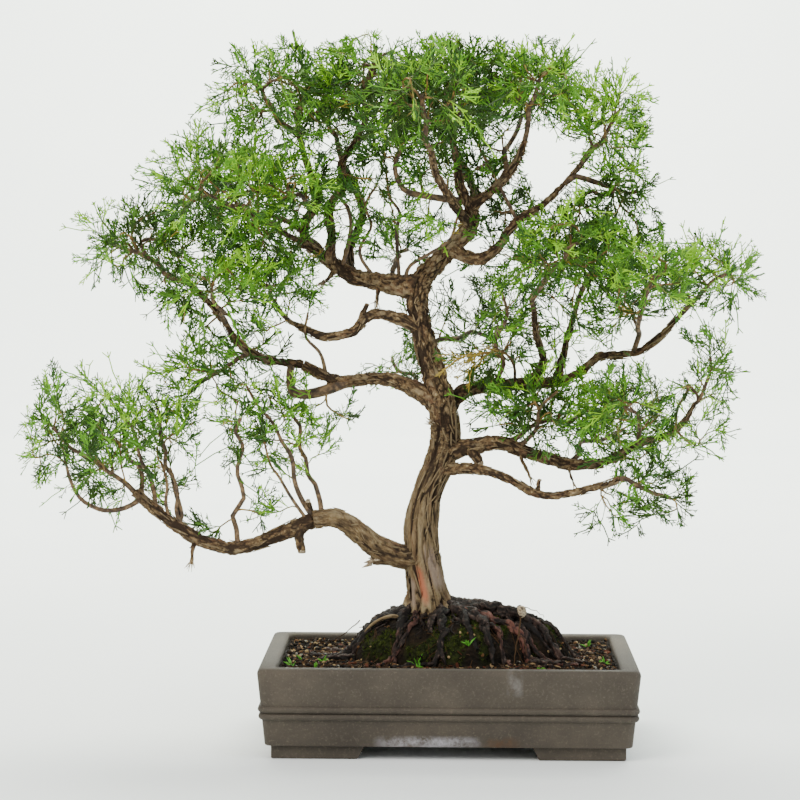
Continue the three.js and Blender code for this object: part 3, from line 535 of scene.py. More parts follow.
def spokes(first, second, turn):
    """The ways out from each point of a path, at each angle round it."""
    return (np.cos(turn)[None, :, None] * first[:, None, :]
            + np.sin(turn)[None, :, None] * second[:, None, :])


def tube(points, radii, sides, relief=None):
    """A closed tube round a row of points: its points, triangles, angle and length at each point."""
    first, second = ring_axes(directions(points))
    turn = np.linspace(0, 2 * math.pi, sides, endpoint=False)
    length = running_length(points)
    radius = np.repeat(np.asarray(radii, float)[:, None], sides, axis=1)
    if relief is not None:
        radius = radius + relief(turn, length, radius)
    rings = points[:, None, :] + radius[..., None] * spokes(first, second, turn)
    count = len(points)
    corner = np.arange(count * sides).reshape(count, sides)
    a, b = corner[:-1], np.roll(corner[:-1], -1, axis=1)
    c, d = np.roll(corner[1:], -1, axis=1), corner[1:]
    wall = np.stack([a, b, c, a, c, d], -1).reshape(-1, 3)
    ends = np.vstack([points[0], points[-1]])
    foot, tip = count * sides, count * sides + 1
    low = np.stack([np.roll(corner[0], -1), corner[0], np.full(sides, foot)], -1)
    high = np.stack([corner[-1], np.roll(corner[-1], -1), np.full(sides, tip)], -1)
    vertices = np.vstack([rings.reshape(-1, 3), ends])
    angle = np.concatenate([np.tile(turn, count), [0, 0]])
    run = np.concatenate([np.repeat(length, sides), [0, length[-1]]])
    size = np.concatenate([radius.ravel(), [0, 0]])
    return vertices, np.vstack([wall, low, high]), angle, run, size


# The limbs, grown by the rule of the solids

class Limb:
    """A limb's curve and its radius along it."""

    def __init__(self, route, girth):
        self.place = smooth_line(route)
        self.girth = np.array(girth, float)
        ends = self.place(np.linspace(0, 1, 60))
        self.length = norm(np.diff(ends, axis=0), axis=1).sum()

    def radius(self, t):
        """Its radius at a share of its length."""
        return np.interp(np.asarray(t) * (len(self.girth) - 1), range(len(self.girth)), self.girth)

    def nearest(self, place):
        """How far along the limb the point nearest to a place lies."""
        t = np.linspace(0, 1, 201)
        return t[np.argmin(norm(self.place(t) - np.array(place), axis=1))]

    def tangent(self, t):
        """The way it runs at a share of its length."""
        return unit(self.place(min(t + 0.01, 1.0)) - self.place(max(t - 0.01, 0.0)))

    def balls(self, gap=3.0):
        """The limb as a row of balls: middles and radii."""
        t = np.linspace(0, 1, max(3, int(self.length / gap)))
        return self.place(t), self.radius(t)


def grow_limbs():
    """The trunk and its boughs by name."""
    limbs = {"trunk": Limb(TRUNK["route"], TRUNK["girth"])}
    for name, parent_name, girth, route in BOUGHS:
        parent = limbs[parent_name]
        tip = parent.place(1.0)
        from_tip = norm(tip - np.array(route[0])) < 3
        start = tip if from_tip else parent.place(parent.nearest(route[0]))
        limbs[name] = Limb([tuple(start)] + route[1:], girth)
        limbs[name].from_tip = from_tip
    return limbs


def grow_stem(pad, limbs):
    """The stem of a pad, from its limb to past the pad's heart."""
    _, parent_name, springs, centre, reach, _ = pad
    parent = limbs[parent_name]
    from_tip = springs is None
    root = parent.place(1.0) if from_tip else parent.place(parent.nearest(springs))
    heart = np.array(centre, float) - UP * STEM["drop"] * reach[2]
    gap = norm(heart - root)
    onward = unit(heart - root)
    lead = parent.tangent(1.0) * 0.6 + onward * 0.4 if from_tip else onward + UP * 0.3
    far = heart + onward * np.array(reach) * STEM["past"]
    girth = [min(STEM["radius"], parent.radius(1.0)), STEM["tip"]]
    return Limb([root, root + lead * 0.3 * gap, heart, far], girth)


def mound_lump(angle):
    """How far the mound's uneven outline reaches at an angle round it."""
    return 1 + 0.07 * np.sin(3 * angle + 1) + 0.05 * np.sin(5 * angle + 2)


def mound_height(x, y):
    """The height of the soil at a place, in millimetres."""
    u, v = (x - MOUND["x"]) / MOUND["rx"], (y - MOUND["y"]) / MOUND["ry"]
    # It falls off sooner on the right.
    u = np.where(u > 0, 1.15 * u, u)
    out = np.hypot(u, v) / mound_lump(np.arctan2(v, u))
    return SOIL_LEVEL + MOUND["height"] * np.sqrt(np.clip(1 - out ** MOUND["fullness"], 0, 1))


# Bark

def ridges(points, size, stretch):
    """Noise at each point, with its features drawn out along the limb."""
    return np.array([noise.noise(Vector((x / size, y / size, z / (size * stretch)))) for x, y, z in points])


def plates(points, size, stretch):
    """Bark plates at each point: each plate's own height, and how near the point is to a crack."""
    rows = []
    for x, y, z in points:
        gaps, middles = noise.voronoi(Vector((x / size, y / size, z / (size * stretch))))
        height = math.sin(middles[0].x * 12.9 + middles[0].y * 78.2 + middles[0].z * 37.7)
        rows.append((height, min((gaps[1] - gaps[0]) / 0.3, 1.0)))
    return np.array(rows).T


def relief_depth(radius, strength=1.0):
    """How far the bark stands out on a limb of a radius."""
    return strength * (0.075 * radius + 0.42)


def even_fibre(share):
    """Bark that is equally stringy all along a limb."""
    return lambda length: np.full(len(length), share)


def bark_relief(seed, strength, fibre, flutes):
    """The height of the bark over a limb, as a function of angle, length and radius."""

    def relief(turn, length, radius):
        angle = turn[None, :] + 0.01 * length[:, None]
        grain = np.stack([np.cos(angle) * radius + seed, np.sin(angle) * radius + seed,
                          np.repeat(length[:, None], len(turn), axis=1)], -1)
        flat = grain.reshape(-1, 3)
        # Swells of 7 mm, strings, threads and grit, and plates of 3.4 mm, drawn out along the limb.
        broad = ridges(flat, 7.0, 4.0).reshape(angle.shape)
        strings = ridges(flat + 31, 4.2, 9.0).reshape(angle.shape)
        threads = ridges(flat + 83, 1.5, 9.0).reshape(angle.shape)
        fine = ridges(flat + 57, 0.9, 1.2).reshape(angle.shape)
        height, crack = (row.reshape(angle.shape) for row in plates(flat, 3.4, 2.0))
        share = fibre(length)
        flaky = 0.68 * height - 1.2 * (1 - crack) + 0.75 * fine
        splits = 1 - np.minimum(np.abs(strings) / 0.13, 1)
        stringy = 0.35 - 1.7 * splits + 0.9 * strings + 0.5 * threads + 0.4 * fine
        bark = share[:, None] * stringy + (1 - share[:, None]) * flaky
        bark = 0.12 * radius * broad + relief_depth(radius, strength) * bark
        for direction, depth in flutes:
            near = np.clip(np.cos(turn - direction), 0, 1)[None, :] ** 9
            bark = bark + depth * near * np.exp(-length[:, None] / 13)
        return bark

    return relief


def bark_part(points, faces, grain, fibre, relief):
    """Bark with the run of its grain, how stringy it is, how far it stands out and no wear yet."""
    return {"points": points, "faces": faces, "grain": grain, "fibre": fibre, "relief": relief,
            "wear": np.zeros(len(points))}


def limb_mesh(limb, sides, step, seed, strength=1.0, fibre=even_fibre(0.0), flutes=(), collar=0.0):
    """A limb's bark, with a collar that swells where it leaves its parent."""
    count = max(6, int(limb.length / step))
    t = np.linspace(0, 1, count)
    radii = limb.radius(t)
    if collar:
        radii = radii * (1 + collar * np.exp(-t * limb.length / (2.2 * limb.girth[0])))
    relief = bark_relief(seed, strength, fibre, flutes)
    points, faces, angle, run, size = tube(limb.place(t), radii, sides, relief)
    base = np.interp(run, t * limb.length, radii)
    share = fibre(run)
    grain = np.stack([np.cos(angle) * size, np.sin(angle) * size, run / (1.3 + 3 * share)], -1) + seed
    height = np.clip((size - base) / relief_depth(base, strength), -1.6, 1.6)
    return bark_part(points, faces, grain, share, height)


def mark_trunk(trunk, limb):
    """Cuts the splits into the trunk's front, notes its worn strips and paints shade on its sides."""
    points = trunk["points"]
    t = np.linspace(0, 1, 200)
    axis = limb.place(t)
    middle = np.stack([np.interp(points[:, 2], axis[:, 2], axis[:, k]) for k in range(2)], -1)
    front = points[:, 1] < middle[:, 1]
    for kind, half, line in TRUNK_MARKS:
        spots = smooth_line([(x, 0, z) for x, z in line])(np.linspace(0, 1, 60))[:, [0, 2]]
        gap = np.hypot(points[:, None, 0] - spots[None, :, 0], points[:, None, 2] - spots[None, :, 1])
        nearest = gap.argmin(axis=1)
        ends = np.clip(np.minimum(nearest, 59 - nearest) / 14, 0, 1)
        mark = np.exp(-((gap.min(axis=1) / half) ** 2)) * ends * front
        # Painted shade: the relief is lowered so the bark takes on its crack colour, with no cut.
        if kind == "shade":
            trunk["relief"] -= 0.8 * mark
        elif kind == "groove":
            inward = middle - points[:, :2]
            inward /= np.maximum(norm(inward, axis=1, keepdims=True), 1e-6)
            points[:, :2] += inward * (mark * min(2.2 * half, 2.8))[:, None]
            trunk["relief"] -= 2.2 * mark
        else:
            trunk["wear"] += np.where(mark > 0.05, mark, 0) * (1 if kind == "red" else -1)
            trunk["relief"] = np.where(mark > 0.3, np.maximum(trunk["relief"], -0.35), trunk["relief"])
    return trunk


def bark_flakes(limb, count, rng, longest, fibre=0.0, upto=0.95):
    """Loose strips and flakes of bark that follow the limb a little off its surface."""
    parts = []
    for _ in range(count):
        start = rng.uniform(0.0, upto)
        span = min(rng.uniform(0.25, 1) * longest / limb.length, 0.99 - start)
        t = np.linspace(start, start + span, 6)
        middle = limb.place(t)
        first, second = ring_axes(directions(middle))
        turn = rng.uniform(0, 2 * math.pi) + np.linspace(0, rng.normal(0, 0.3), 6)
        lift = 0.1 + rng.uniform(0.1, 0.9) * np.linspace(-1, 1, 6) ** 4
        outward = np.cos(turn)[:, None] * first + np.sin(turn)[:, None] * second
        path = middle + outward * (limb.radius(t) + lift)[:, None]
        wide = rng.uniform(0.3, 0.7) * (1 - 0.75 * np.abs(np.linspace(-1, 1, 6)) ** 3)
        points, faces, _, run, _ = tube(path, wide, 4)
        grain = np.column_stack([points[:, :2] / 2, run / 4]) + rng.uniform(0, 90)
        fibres, heights = np.full(len(points), fibre), np.full(len(points), 0.8)
        parts.append(bark_part(points, faces, grain, fibres, heights))
    return parts


def bark_piece(name, parts, material, replaces=()):
    """Limbs as one piece, with their grain, relief, fibre and worn places."""
    kinds = {"grain": "FLOAT_VECTOR", "relief": "FLOAT", "fibre": "FLOAT", "wear": "FLOAT"}
    fields = {key: (kind, np.concatenate([part[key] for part in parts])) for key, kind in kinds.items()}
    shapes = [(part["points"], part["faces"]) for part in parts]
    mesh_piece(name, shapes, material, replaces, fields)


def bark_material(looks):
    """Juniper bark: brown and flaky on young wood, long pale strings on the old, dark in its cracks."""
    material, tree, shader = new_material("juniper_bark")
    grain, relief, fibre, wear = (
        add_node(tree, "Attribute", {"attribute_name": name}).outputs[output]
        for name, output in (("grain", "Vector"), ("relief", "Fac"), ("fibre", "Fac"), ("wear", "Fac")))
    flecks = add_node(tree, "TexNoise", Vector=grain, Scale=0.4, Detail=6.0, Roughness=0.7)
    patches = add_node(tree, "TexNoise", Vector=grain, Scale=0.11, Detail=3.0).outputs["Fac"]
    flaky = add_node(tree, "ValToRGB", Fac=flecks.outputs["Fac"],
                     stops=[(0.32, "#21170d"), (0.44, "#463522"), (0.57, "#6c563a"), (0.71, "#a8946f")])
    stringy = add_node(tree, "ValToRGB", Fac=flecks.outputs["Fac"],
                       stops=[(0.3, "#37291a"), (0.44, "#564630"), (0.57, "#6f5d41"), (0.74, "#988563")])
    bark = add_node(tree, "Mix", {"data_type": "RGBA"}, _0=fibre, _6=flaky.outputs["Color"],
                    _7=stringy.outputs["Color"]).outputs[2]
    # Rusty and pale patches, lighter ledges where the bark stands out, red young bark, bare grey wood, and
    # dark cracks over all.
    bark = coat(tree, bark, [
        (patches, 0.54, 0.7, 0.4, linear("#5d3a29")),
        (patches, 0.42, 0.3, 0.4, linear("#8b7e62")),
        (relief, 0.35, 1.1, 0.42, linear("#9a8a6c")),
        (wear, 0.1, 0.9, 0.72, linear("#a45a40")),
        (wear, -0.1, -0.8, 0.75, linear("#857365")),
        (relief, -0.25, -1.0, 0.94, [*looks.bark_crack, 1.0]),
    ])
    finish_surface(tree, shader, bark, 0.88, 0.3, flecks.outputs["Fac"], 0.8, 0.0012)
    return material


def wood_material():
    """Bare juniper wood at cuts and tears: pale, dry and checked along its grain."""
    material, tree, shader = new_material("bare_wood")
    place = add_node(tree, "TexCoord").outputs["Object"]
    fibres = add_node(tree, "TexNoise", Vector=place, Scale=900.0, Detail=4.0).outputs["Fac"]
    tone = add_node(tree, "ValToRGB", Fac=fibres,
                    stops=[(0.35, "#5c4c38"), (0.5, "#93826a"), (0.68, "#bcab8c")])
    finish_surface(tree, shader, tone.outputs["Color"], 0.8, 0.5, fibres, 0.5, 0.0006)
    return material


# Foliage

def clear_of(points, middles, radii, room):
    """Which points keep a distance from a cloud of balls."""
    keep = np.ones(len(points), bool)
    for start in range(0, len(points), 4000):
        part = points[start:start + 4000]
        gap = norm(part[:, None, :] - middles[None, :, :], axis=2) - radii[None, :]
        keep[start:start + 4000] = gap.min(axis=1) > room
    return keep


def bend_path(start, way, end, steps):
    """A path that sets out one way and bends to its end."""
    gap = norm(end - start)
    middle = start + way * 0.42 * gap
    t = np.linspace(0, 1, steps)[:, None]
    return (1 - t) ** 2 * start + 2 * t * (1 - t) * middle + t**2 * end


def kinked(path, size, rng):
    """A path with small bends every centimetre or so, still fixed where it starts."""
    run = running_length(path)
    knots = np.arange(0, run[-1] + 11, 11)
    bends = rng.normal(0, size / 1.6, (len(knots), 3))
    bends[0] = 0
    return path + np.stack([np.interp(run, knots, bends[:, axis]) for axis in range(3)], -1)


def normalised(vectors):
    """Rows of ways, each one long."""
    return vectors / np.maximum(norm(vectors, axis=-1, keepdims=True), 1e-9)


def sideways(ways, rng):
    """A random way across each way."""
    other = rng.normal(size=ways.shape)
    return normalised(other - ways * np.sum(other * ways, axis=-1, keepdims=True))


def twig_goals(looks, rng):
    """Where twigs end, and how far out: round each pad by the golden angle, and thinly between pads."""
    goals, outs = [], []
    for _, _, _, centre, reach, fullness in PADS:
        count = int(looks.twigs * fullness * (np.prod(reach) / 50000) ** 0.8)
        n = np.arange(count)
        lift = 1 - 1.72 * (n + 0.5) / count
        turn = n * GOLDEN_ANGLE + rng.uniform(0, 0.7, count)
        flat = np.sqrt(1 - lift * lift)
        ways = np.stack([flat * np.cos(turn), flat * np.sin(turn), lift], -1)
        share = 0.28 + 0.72 * rng.uniform(size=count) ** 0.6
        goals.append(np.array(centre) + ways * np.array(reach) * share[:, None])
        outs.append(share + 0.3 * lift)
    for centre, reach, count in THIN_GROWTH:
        ways = normalised(rng.normal(size=(count, 3)))
        share = rng.uniform(size=count) ** (1 / 3)
        goals.append(np.array(centre) + ways * np.array(reach) * share[:, None])
        outs.append(np.full(count, 0.5) + 0.2 * rng.uniform(size=count))
    return np.vstack(goals), np.concatenate(outs)


def in_gaps(points):
    """Which points lie where the crown is open from front to back."""
    inside = np.zeros(len(points), bool)
    for x, z, wide, high in GAPS:
        inside |= np.hypot((points[:, 0] - x) / wide, (points[:, 2] - z) / high) < 1
    return inside


def hides_limb(points, limbs, room=6.0):
    """Which points lie in front of the limbs that show bare."""
    hides = np.zeros(len(points), bool)
    for name, low, high in BARE_LIMBS:
        limb = limbs[name]
        t = np.linspace(low, high, max(4, int(limb.length * (high - low) / 4)))
        middle, radius = limb.place(t), limb.radius(t)
        gap = np.hypot(points[:, None, 0] - middle[None, :, 0], points[:, None, 2] - middle[None, :, 2])
        hides |= ((gap < radius + room) & (points[:, None, 1] < middle[None, :, 1])).any(axis=1)
    return hides


# How twigs grow, in millimetres: the least and greatest reach to a goal, the gap between the points of a
# path and their jitter, how much dearer it is to spring from a limb, and the most points in all.
GROWTH = {"least": 4, "greatest": 48, "gap": 3.6, "jitter": 0.55, "from_limb": 1.35, "points": 90000}


class Twig:
    """A twig: its path, the twig it springs from and where, how far out it is and the tips it feeds."""

    def __init__(self, path, parent, at, out, girth=None):
        self.path = path
        self.parent = parent
        self.at = at
        self.out = out
        self.tips = np.ones(len(path))
        self.girth = girth


def grow_twigs(limbs, stems, thin, goals, outs, rng):
    """Grows a twig to each goal from the nearest growth that already points its way."""
    rows = [limb.balls() for limb in limbs.values()]
    cloud = (np.vstack([row[0] for row in rows]), np.concatenate([row[1] for row in rows]))
    count = GROWTH["points"]
    points, ways = np.zeros((count, 3)), np.zeros((count, 3))
    owner, step, dear = np.zeros(count, int), np.zeros(count, int), np.ones(count)
    twigs, used = [], 0

    def add(path, index, skip, cost):
        nonlocal used
        rows = slice(used, used + len(path) - skip)
        points[rows] = path[skip:]
        ways[rows] = directions(path)[skip:]
        owner[rows] = index
        step[rows] = np.arange(skip, len(path))
        dear[rows] = cost
        used = rows.stop

    for stem in stems:
        count = max(4, int(stem.length / 3))
        path = kinked(stem.place(np.linspace(0, 1, count)), 3.4, rng)
        twigs.append(Twig(path, -1, 0, 0.2, stem.girth))
        add(path, len(twigs) - 1, count // 4, 1.0)
    for limb in thin:
        path = limb.place(np.linspace(0, 1, max(4, int(limb.length / 4))))
        twigs.append(Twig(path, -1, 0, 0.3, limb.girth))
        add(path, len(twigs) - 1, 2, 1.0)
    for name, limb in limbs.items():
        first = 0.8 if name == "trunk" else 0.3
        count = max(3, int(limb.length * (1 - first) / 5))
        add(limb.place(np.linspace(first, 1, count)), -1, 0, GROWTH["from_limb"])
    near = np.array([norm(points[:used] - goal, axis=1).min() for goal in goals])
    for index in np.argsort(near + rng.uniform(0, 6, len(near))):
        goal = goals[index]
        away = goal - points[:used]
        gap = norm(away, axis=1)
        turned = np.einsum("ij,ij->i", ways[:used], away) / np.maximum(gap, 1e-6)
        cost = gap * dear[:used] * (1.5 - 0.75 * turned)
        best = int(np.argmin(cost))
        if not GROWTH["least"] < gap[best] < GROWTH["greatest"]:
            continue
        start, way = points[best], unit(ways[best] * 0.8 + sideways(ways[best], rng) * 0.5 + UP * 0.12)
        steps = max(3, int(gap[best] / GROWTH["gap"]) + 1)
        path = bend_path(start, way, goal, steps)
        path[1:-1] += rng.normal(0, GROWTH["jitter"], (steps - 2, 3))
        if owner[best] >= 0 and not clear_of(path[1:], *cloud, 0.5).all():
            continue
        if owner[best] < 0 and not clear_of(path[steps // 2:], *cloud, 0.5).all():
            continue
        twigs.append(Twig(path, owner[best], step[best], outs[index]))
        add(path, len(twigs) - 1, 1, 1.0)
    for twig in reversed(twigs):
        if twig.parent >= 0:
            twigs[twig.parent].tips[:twig.at + 1] += twig.tips[0]
    return twigs, cloud


def shoots_along(twigs, looks, rng):
    """The feet, ways, sizes and outwardness of the shoots: a fan at each tip and pairs behind it."""
    rows = []
    for twig in twigs:
        path, way = twig.path, directions(twig.path)
        run = running_length(path)
        across = sideways(way[-1], rng)
        leafy = 1.0 if twig.out > 0.55 else 0.55
        for spread in rng.uniform(-0.8, 0.8, int(rng.integers(2, 5))):
            heading = way[-1] * math.cos(spread) + across * math.sin(spread) + UP * rng.uniform(-0.05, 0.5)
            rows.append((*path[-1], *unit(heading), rng.uniform(0.6, 1.2), twig.out))
        if rng.uniform() < 0.2:
            heading = unit(way[-1] + rng.normal(0, 0.4, 3))
            rows.append((*path[-1], *heading, rng.uniform(1.5, 2.1), twig.out))
        side, place = 1, run[-1] - rng.uniform(2.4, 3.4)
        while place > 0.3 * run[-1]:
            k = int(np.searchsorted(run, place, side="right")) - 1
            if twig.tips[k] < 5 and rng.uniform() < leafy:
                share = (place - run[k]) / max(run[k + 1] - run[k], 1e-6)
                foot = path[k] + (path[k + 1] - path[k]) * share
                slope = math.radians(rng.uniform(30, 56))
                around = normalised(across - way[k] * np.dot(across, way[k]))
                heading = way[k] * math.cos(slope) + side * around * math.sin(slope)
                heading = unit(heading + rng.normal(0, 0.16, 3) + UP * 0.12)
                rows.append((*foot, *heading, rng.uniform(0.4, 0.95), twig.out))
            side = -side
            place -= rng.uniform(3.4, 5.8)
    rows = np.array(rows)
    return rows[:, :3], rows[:, 3:6], rows[:, 6] * looks.shoot, rows[:, 7]


def cord(spots, radii):
    """A closed three-sided cord through a row of spots."""
    spots = np.array(spots)
    first, second = ring_axes(directions(spots))
    turn = np.array((0, 2 * math.pi / 3, 4 * math.pi / 3))
    rings = spots[:, None, :] + np.array(radii)[:, None, None] * spokes(first, second, turn)
    faces = [(2, 1, 0)]
    for low in range(0, 3 * len(spots) - 3, 3):
        for a, b in ((0, 1), (1, 2), (2, 0)):
            faces += [(low + a, low + b, low + b + 3), (low + a, low + b + 3, low + a + 3)]
    last = 3 * len(spots) - 3
    return rings.reshape(-1, 3), np.array(faces + [(last, last + 1, last + 2)])


def shoot_pattern(rng, branches):
    """A shoot one unit long, along +X: a cord of scale leaves with forked side cords and blunt tips."""

    def place(share):
        return np.array((share, 0.03 * math.sin(3 * share), 0.16 * share * (1 - share)))

    def straight(foot, way, size, thick):
        return cord([foot, foot + way * size], [thick * slim, thick * 0.7 * slim])

    # A plain shoot is drawn about twice as long as the others.
    slim = 0.52 if branches == 0 else 0.9
    parts = [cord([place(0), place(0.5), place(1)], np.array([0.03, 0.034, 0.026]) * slim)]
    for side in (-1, 1):
        way = unit(np.array((1.0, side * rng.uniform(0.5, 0.9), rng.uniform(-0.2, 0.6))))
        parts.append(straight(place(0.86), way, rng.uniform(0.16, 0.26), 0.033))
    for i in range(branches):
        share = 0.2 + 0.5 * i / max(branches - 1, 1) + rng.uniform(-0.04, 0.04)
        side = 1 if i % 2 else -1
        slope = math.radians(rng.uniform(30, 52))
        size = (0.58 - 0.34 * share) * rng.uniform(0.75, 1.2)
        way = unit(np.array((math.cos(slope), side * math.sin(slope), rng.uniform(-0.4, 0.6))))
        parts.append(straight(place(share), way, size, 0.034))
        turned = unit(np.array((1.0, side * rng.uniform(-0.3, 0.1), rng.uniform(-0.2, 0.7))))
        fork = size * rng.uniform(0.35, 0.6)
        parts.append(straight(place(share) + way * size * 0.5, turned, fork, 0.032))
    return join_parts(parts)


def scatter(pattern, feet, ways, sides, sizes):
    """Copies of a pattern, each from its foot along its way."""
    points, faces = pattern
    ups = np.cross(ways, sides)
    axes = np.stack([ways, sides, ups], axis=1)
    placed = np.einsum("vk,nkj->nvj", points, axes) * sizes[:, None, None] + feet[:, None, :]
    offset = np.arange(len(feet))[:, None, None] * len(points)
    return placed.reshape(-1, 3), (faces[None] + offset).reshape(-1, 3)


def leaf_material(name, colour, roughness=0.6):
    """Juniper scale leaves: a waxy skin over fine closed scales, in one plain green."""
    material, tree, shader = new_material(name)
    place = add_node(tree, "TexCoord").outputs["Object"]
    # Scales about 1 mm long, drawn as cells.
    scales = add_node(tree, "TexVoronoi", Vector=place, Scale=1100.0)
    finish_surface(tree, shader, linear(colour), roughness, 0.22, scales.outputs["Distance"], 0.25, 0.0003)
    return material


def twig_material():
    """Juniper twigs: green while thin, then orange-brown, then brown bark that greys and flakes."""
    material, tree, shader = new_material("twig_bark")
    place = add_node(tree, "TexCoord").outputs["Object"]
    age = add_node(tree, "Attribute", {"attribute_name": "age"}).outputs["Fac"]
    patches = add_node(tree, "TexNoise", Vector=place, Scale=260.0, Detail=4.0).outputs["Fac"]
    green, young, old = (
        add_node(tree, "ValToRGB", stops=stops, Fac=patches).outputs["Color"] for stops in (
            [(0.36, "#3c5a1e"), (0.52, "#56742c"), (0.66, "#86773c")],
            [(0.36, "#503c18"), (0.52, "#765923"), (0.66, "#967b36")],
            [(0.34, "#2d2116"), (0.5, "#523e29"), (0.66, "#7a6143")]))
    # Twigs under about 0.9 mm across are still green, and those under 2 mm are young wood.
    wood = coat(tree, young, [(age, 0.6, 1.1, 1.0, old)])
    bark = coat(tree, green, [(age, 0.38, 0.56, 1.0, wood)])
    finish_surface(tree, shader, bark, 0.75, 0.5, patches, 0.5, 0.0005)
    return material


# The pot

def start_piece(name, add, **settings):
    """Adds a primitive with nothing else selected, names it and opens it for editing."""
    bpy.ops.object.select_all(action="DESELECT")
    add(**settings)
    piece = bpy.context.object
    piece.name = name
    piece.data.name = name
    bpy.ops.object.transform_apply(location=True, rotation=True, scale=True)
    bpy.ops.object.mode_set(mode="EDIT")
    return piece


def end_piece(piece, material, replaces=(), angle=40):
    """Closes a piece, gives it its finish and puts its origin at the plant's."""
    bpy.ops.mesh.select_all(action="SELECT")
    bpy.ops.mesh.normals_make_consistent(inside=False)
    bpy.ops.object.mode_set(mode="OBJECT")
    bpy.ops.object.transform_apply(location=True, rotation=True, scale=True)
    bpy.ops.object.shade_smooth_by_angle(angle=math.radians(angle))
    piece.data.materials.append(material)
    return settle(piece, replaces)


def select_corners(piece, test):
    """Selects the corners whose place passes a test."""
    bpy.ops.mesh.select_mode(type="VERT")
    bpy.ops.mesh.select_all(action="DESELECT")
    shape = bmesh.from_edit_mesh(piece.data)
    for corner in shape.verts:
        corner.select = test(corner.co)
    shape.select_mode = {"VERT"}
    shape.select_flush_mode()
    bmesh.update_edit_mesh(piece.data)


def rounded_plate(name, middle, length, width, corner):
    """A flat rectangle with rounded corners, opened for editing."""
    plate = start_piece(name, bpy.ops.mesh.primitive_plane_add, size=1, location=middle)
    bpy.ops.transform.resize(value=(length, width, 1), center_override=middle)
    bpy.ops.mesh.select_all(action="SELECT")
    bpy.ops.mesh.bevel(offset=corner, segments=8, affect="VERTICES")
    return plate


# The rounded edge of the base: how far in from the leaning wall and how far up. Then the rim. Each ring of
# its outside: how far in it stands and how far below the top. Each ring of its inside: how far out from the
# inner face and how far below the top. From there the inside leans in by a little down to the floor.
BASE_EDGE = [(0.0012, 0.0), (0.0003, 0.0004), (0.0, 0.0013)]
RIM_OUTSIDE = [(0.0, 0.0034), (0.00025, 0.002), (0.0009, 0.0009), (0.002, 0.0002), (0.0034, 0.0)]
RIM_INSIDE = [(0.0028, 0.0), (0.0013, 0.0004), (0.0003, 0.0014), (0.0, 0.0028)]
INNER_LEAN = 0.003
BEAD_HEIGHTS = (0.0284, 0.0332)

# The drain holes' distance from the middle and their radius.
DRAIN = {"out": 0.058, "radius": 0.008}

# Where water has dried on the front: lime on the lower edge, a rusty run beside it and a faint run below
# the rim. Each is its middle and half width along X, its lowest and highest place, strength and colour.
STAINS = [
    (-13, 37, -4, 17, 0.8, "#a3a0a6"),
    (34, 14, 4, 17, 0.55, "#4f3213"),
    (43, 6, 42, 64, 0.24, "#8f8d8c"),
]


def clay_material():
    """Unglazed stoneware: fine, dry and grey-brown, with grog specks and a trace of lime where it drips."""
    material, tree, shader = new_material("unglazed_stoneware")
    place = add_node(tree, "TexCoord").outputs["Object"]
    # Cloudy tones over 45 mm, blotches over 7 mm, grit of 1.6 mm and grog under 1 mm.
    patterns = ((22.0, 5.0, 0.6), (140.0, 6.0, 0.7), (620.0, 3.0, 0.7), (1300.0, 2.0, 0.7))
    cloud, blotches, grit, grog = (
        add_node(tree, "TexNoise", Vector=place, Scale=scale, Detail=detail,
                 Roughness=rough).outputs["Fac"] for scale, detail, rough in patterns)
    tone = add_node(tree, "ValToRGB", Fac=cloud,
                    stops=[(0.32, "#352e26"), (0.5, "#3f382f"), (0.68, "#4a4238")])
    clay = coat(tree, tone.outputs["Color"], [
        (grog, 0.62, 0.72, 0.55, linear("#251f19")),
        (grit, 0.54, 0.7, 0.4, linear("#655b4e")),
    ])
    parts = add_node(tree, "SeparateXYZ", Vector=place)
    patchy = add_node(tree, "MapRange", Value=blotches, _1=0.38, _2=0.62)
    front = add_node(tree, "MapRange", Value=parts.outputs["Y"], _1=POT_LOW.y + 0.02,
                     _2=POT_LOW.y + 0.01)
    for middle, half, low, high, strength, colour in STAINS:
        off = add_node(tree, "Math", {"operation": "SUBTRACT"}, _0=parts.outputs["X"],
                       _1=POT_MIDDLE.x + middle * MM)
        off = add_node(tree, "Math", {"operation": "ABSOLUTE"}, _0=off.outputs[0])
        edges = ((off.outputs[0], half, 0.5 * half), (parts.outputs["Z"], low, low + 3),
                 (parts.outputs["Z"], high, high - 4))
        within, above, below = (
            add_node(tree, "MapRange", Value=value, _1=start * MM, _2=full * MM)
            for value, start, full in edges)
        amount = within.outputs[0]
        for factor in (above, below, front, patchy):
            amount = add_node(tree, "Math", {"operation": "MULTIPLY"}, _0=amount,
                              _1=factor.outputs[0]).outputs[0]
        clay = coat(tree, clay, [(amount, 0.0, 1.0, strength, linear(colour))])
    rough = add_node(tree, "MapRange", Value=cloud, _3=0.68, _4=0.85)
    finish_surface(tree, shader, clay, rough.outputs["Result"], 0.4, grog, 0.5, 0.0005)
    return material


class PotSizes(bpy.types.PropertyGroup):
    """Sizes of the pot that its outer box doesn't give."""

    wall: FloatProperty(name="Wall", description="Thickness of the rim", default=0.012, unit="LENGTH")
    taper: FloatProperty(name="Taper", description="Lean of each side", default=0.0047, unit="LENGTH")
    corner: FloatProperty(name="Corner", description="Radius of its corners", default=0.005, unit="LENGTH")
    foot: FloatProperty(name="Foot", description="Height of the feet", default=0.0088, unit="LENGTH")
    foot_length: FloatProperty(name="Foot length", description="Along the pot", default=0.062, unit="LENGTH")
    foot_width: FloatProperty(name="Foot width", description="Across the pot", default=0.044, unit="LENGTH")
    foot_inset: FloatProperty(name="Inset", description="In from the base", default=0.0042, unit="LENGTH")
    slant: FloatProperty(name="Slant", description="Lean of the feet", default=0.005, unit="LENGTH")
    floor: FloatProperty(name="Floor", description="Thickness of its floor", default=0.006, unit="LENGTH")
    bead: FloatProperty(name="Bead", description="Radius of the two beads", default=0.0022, unit="LENGTH")


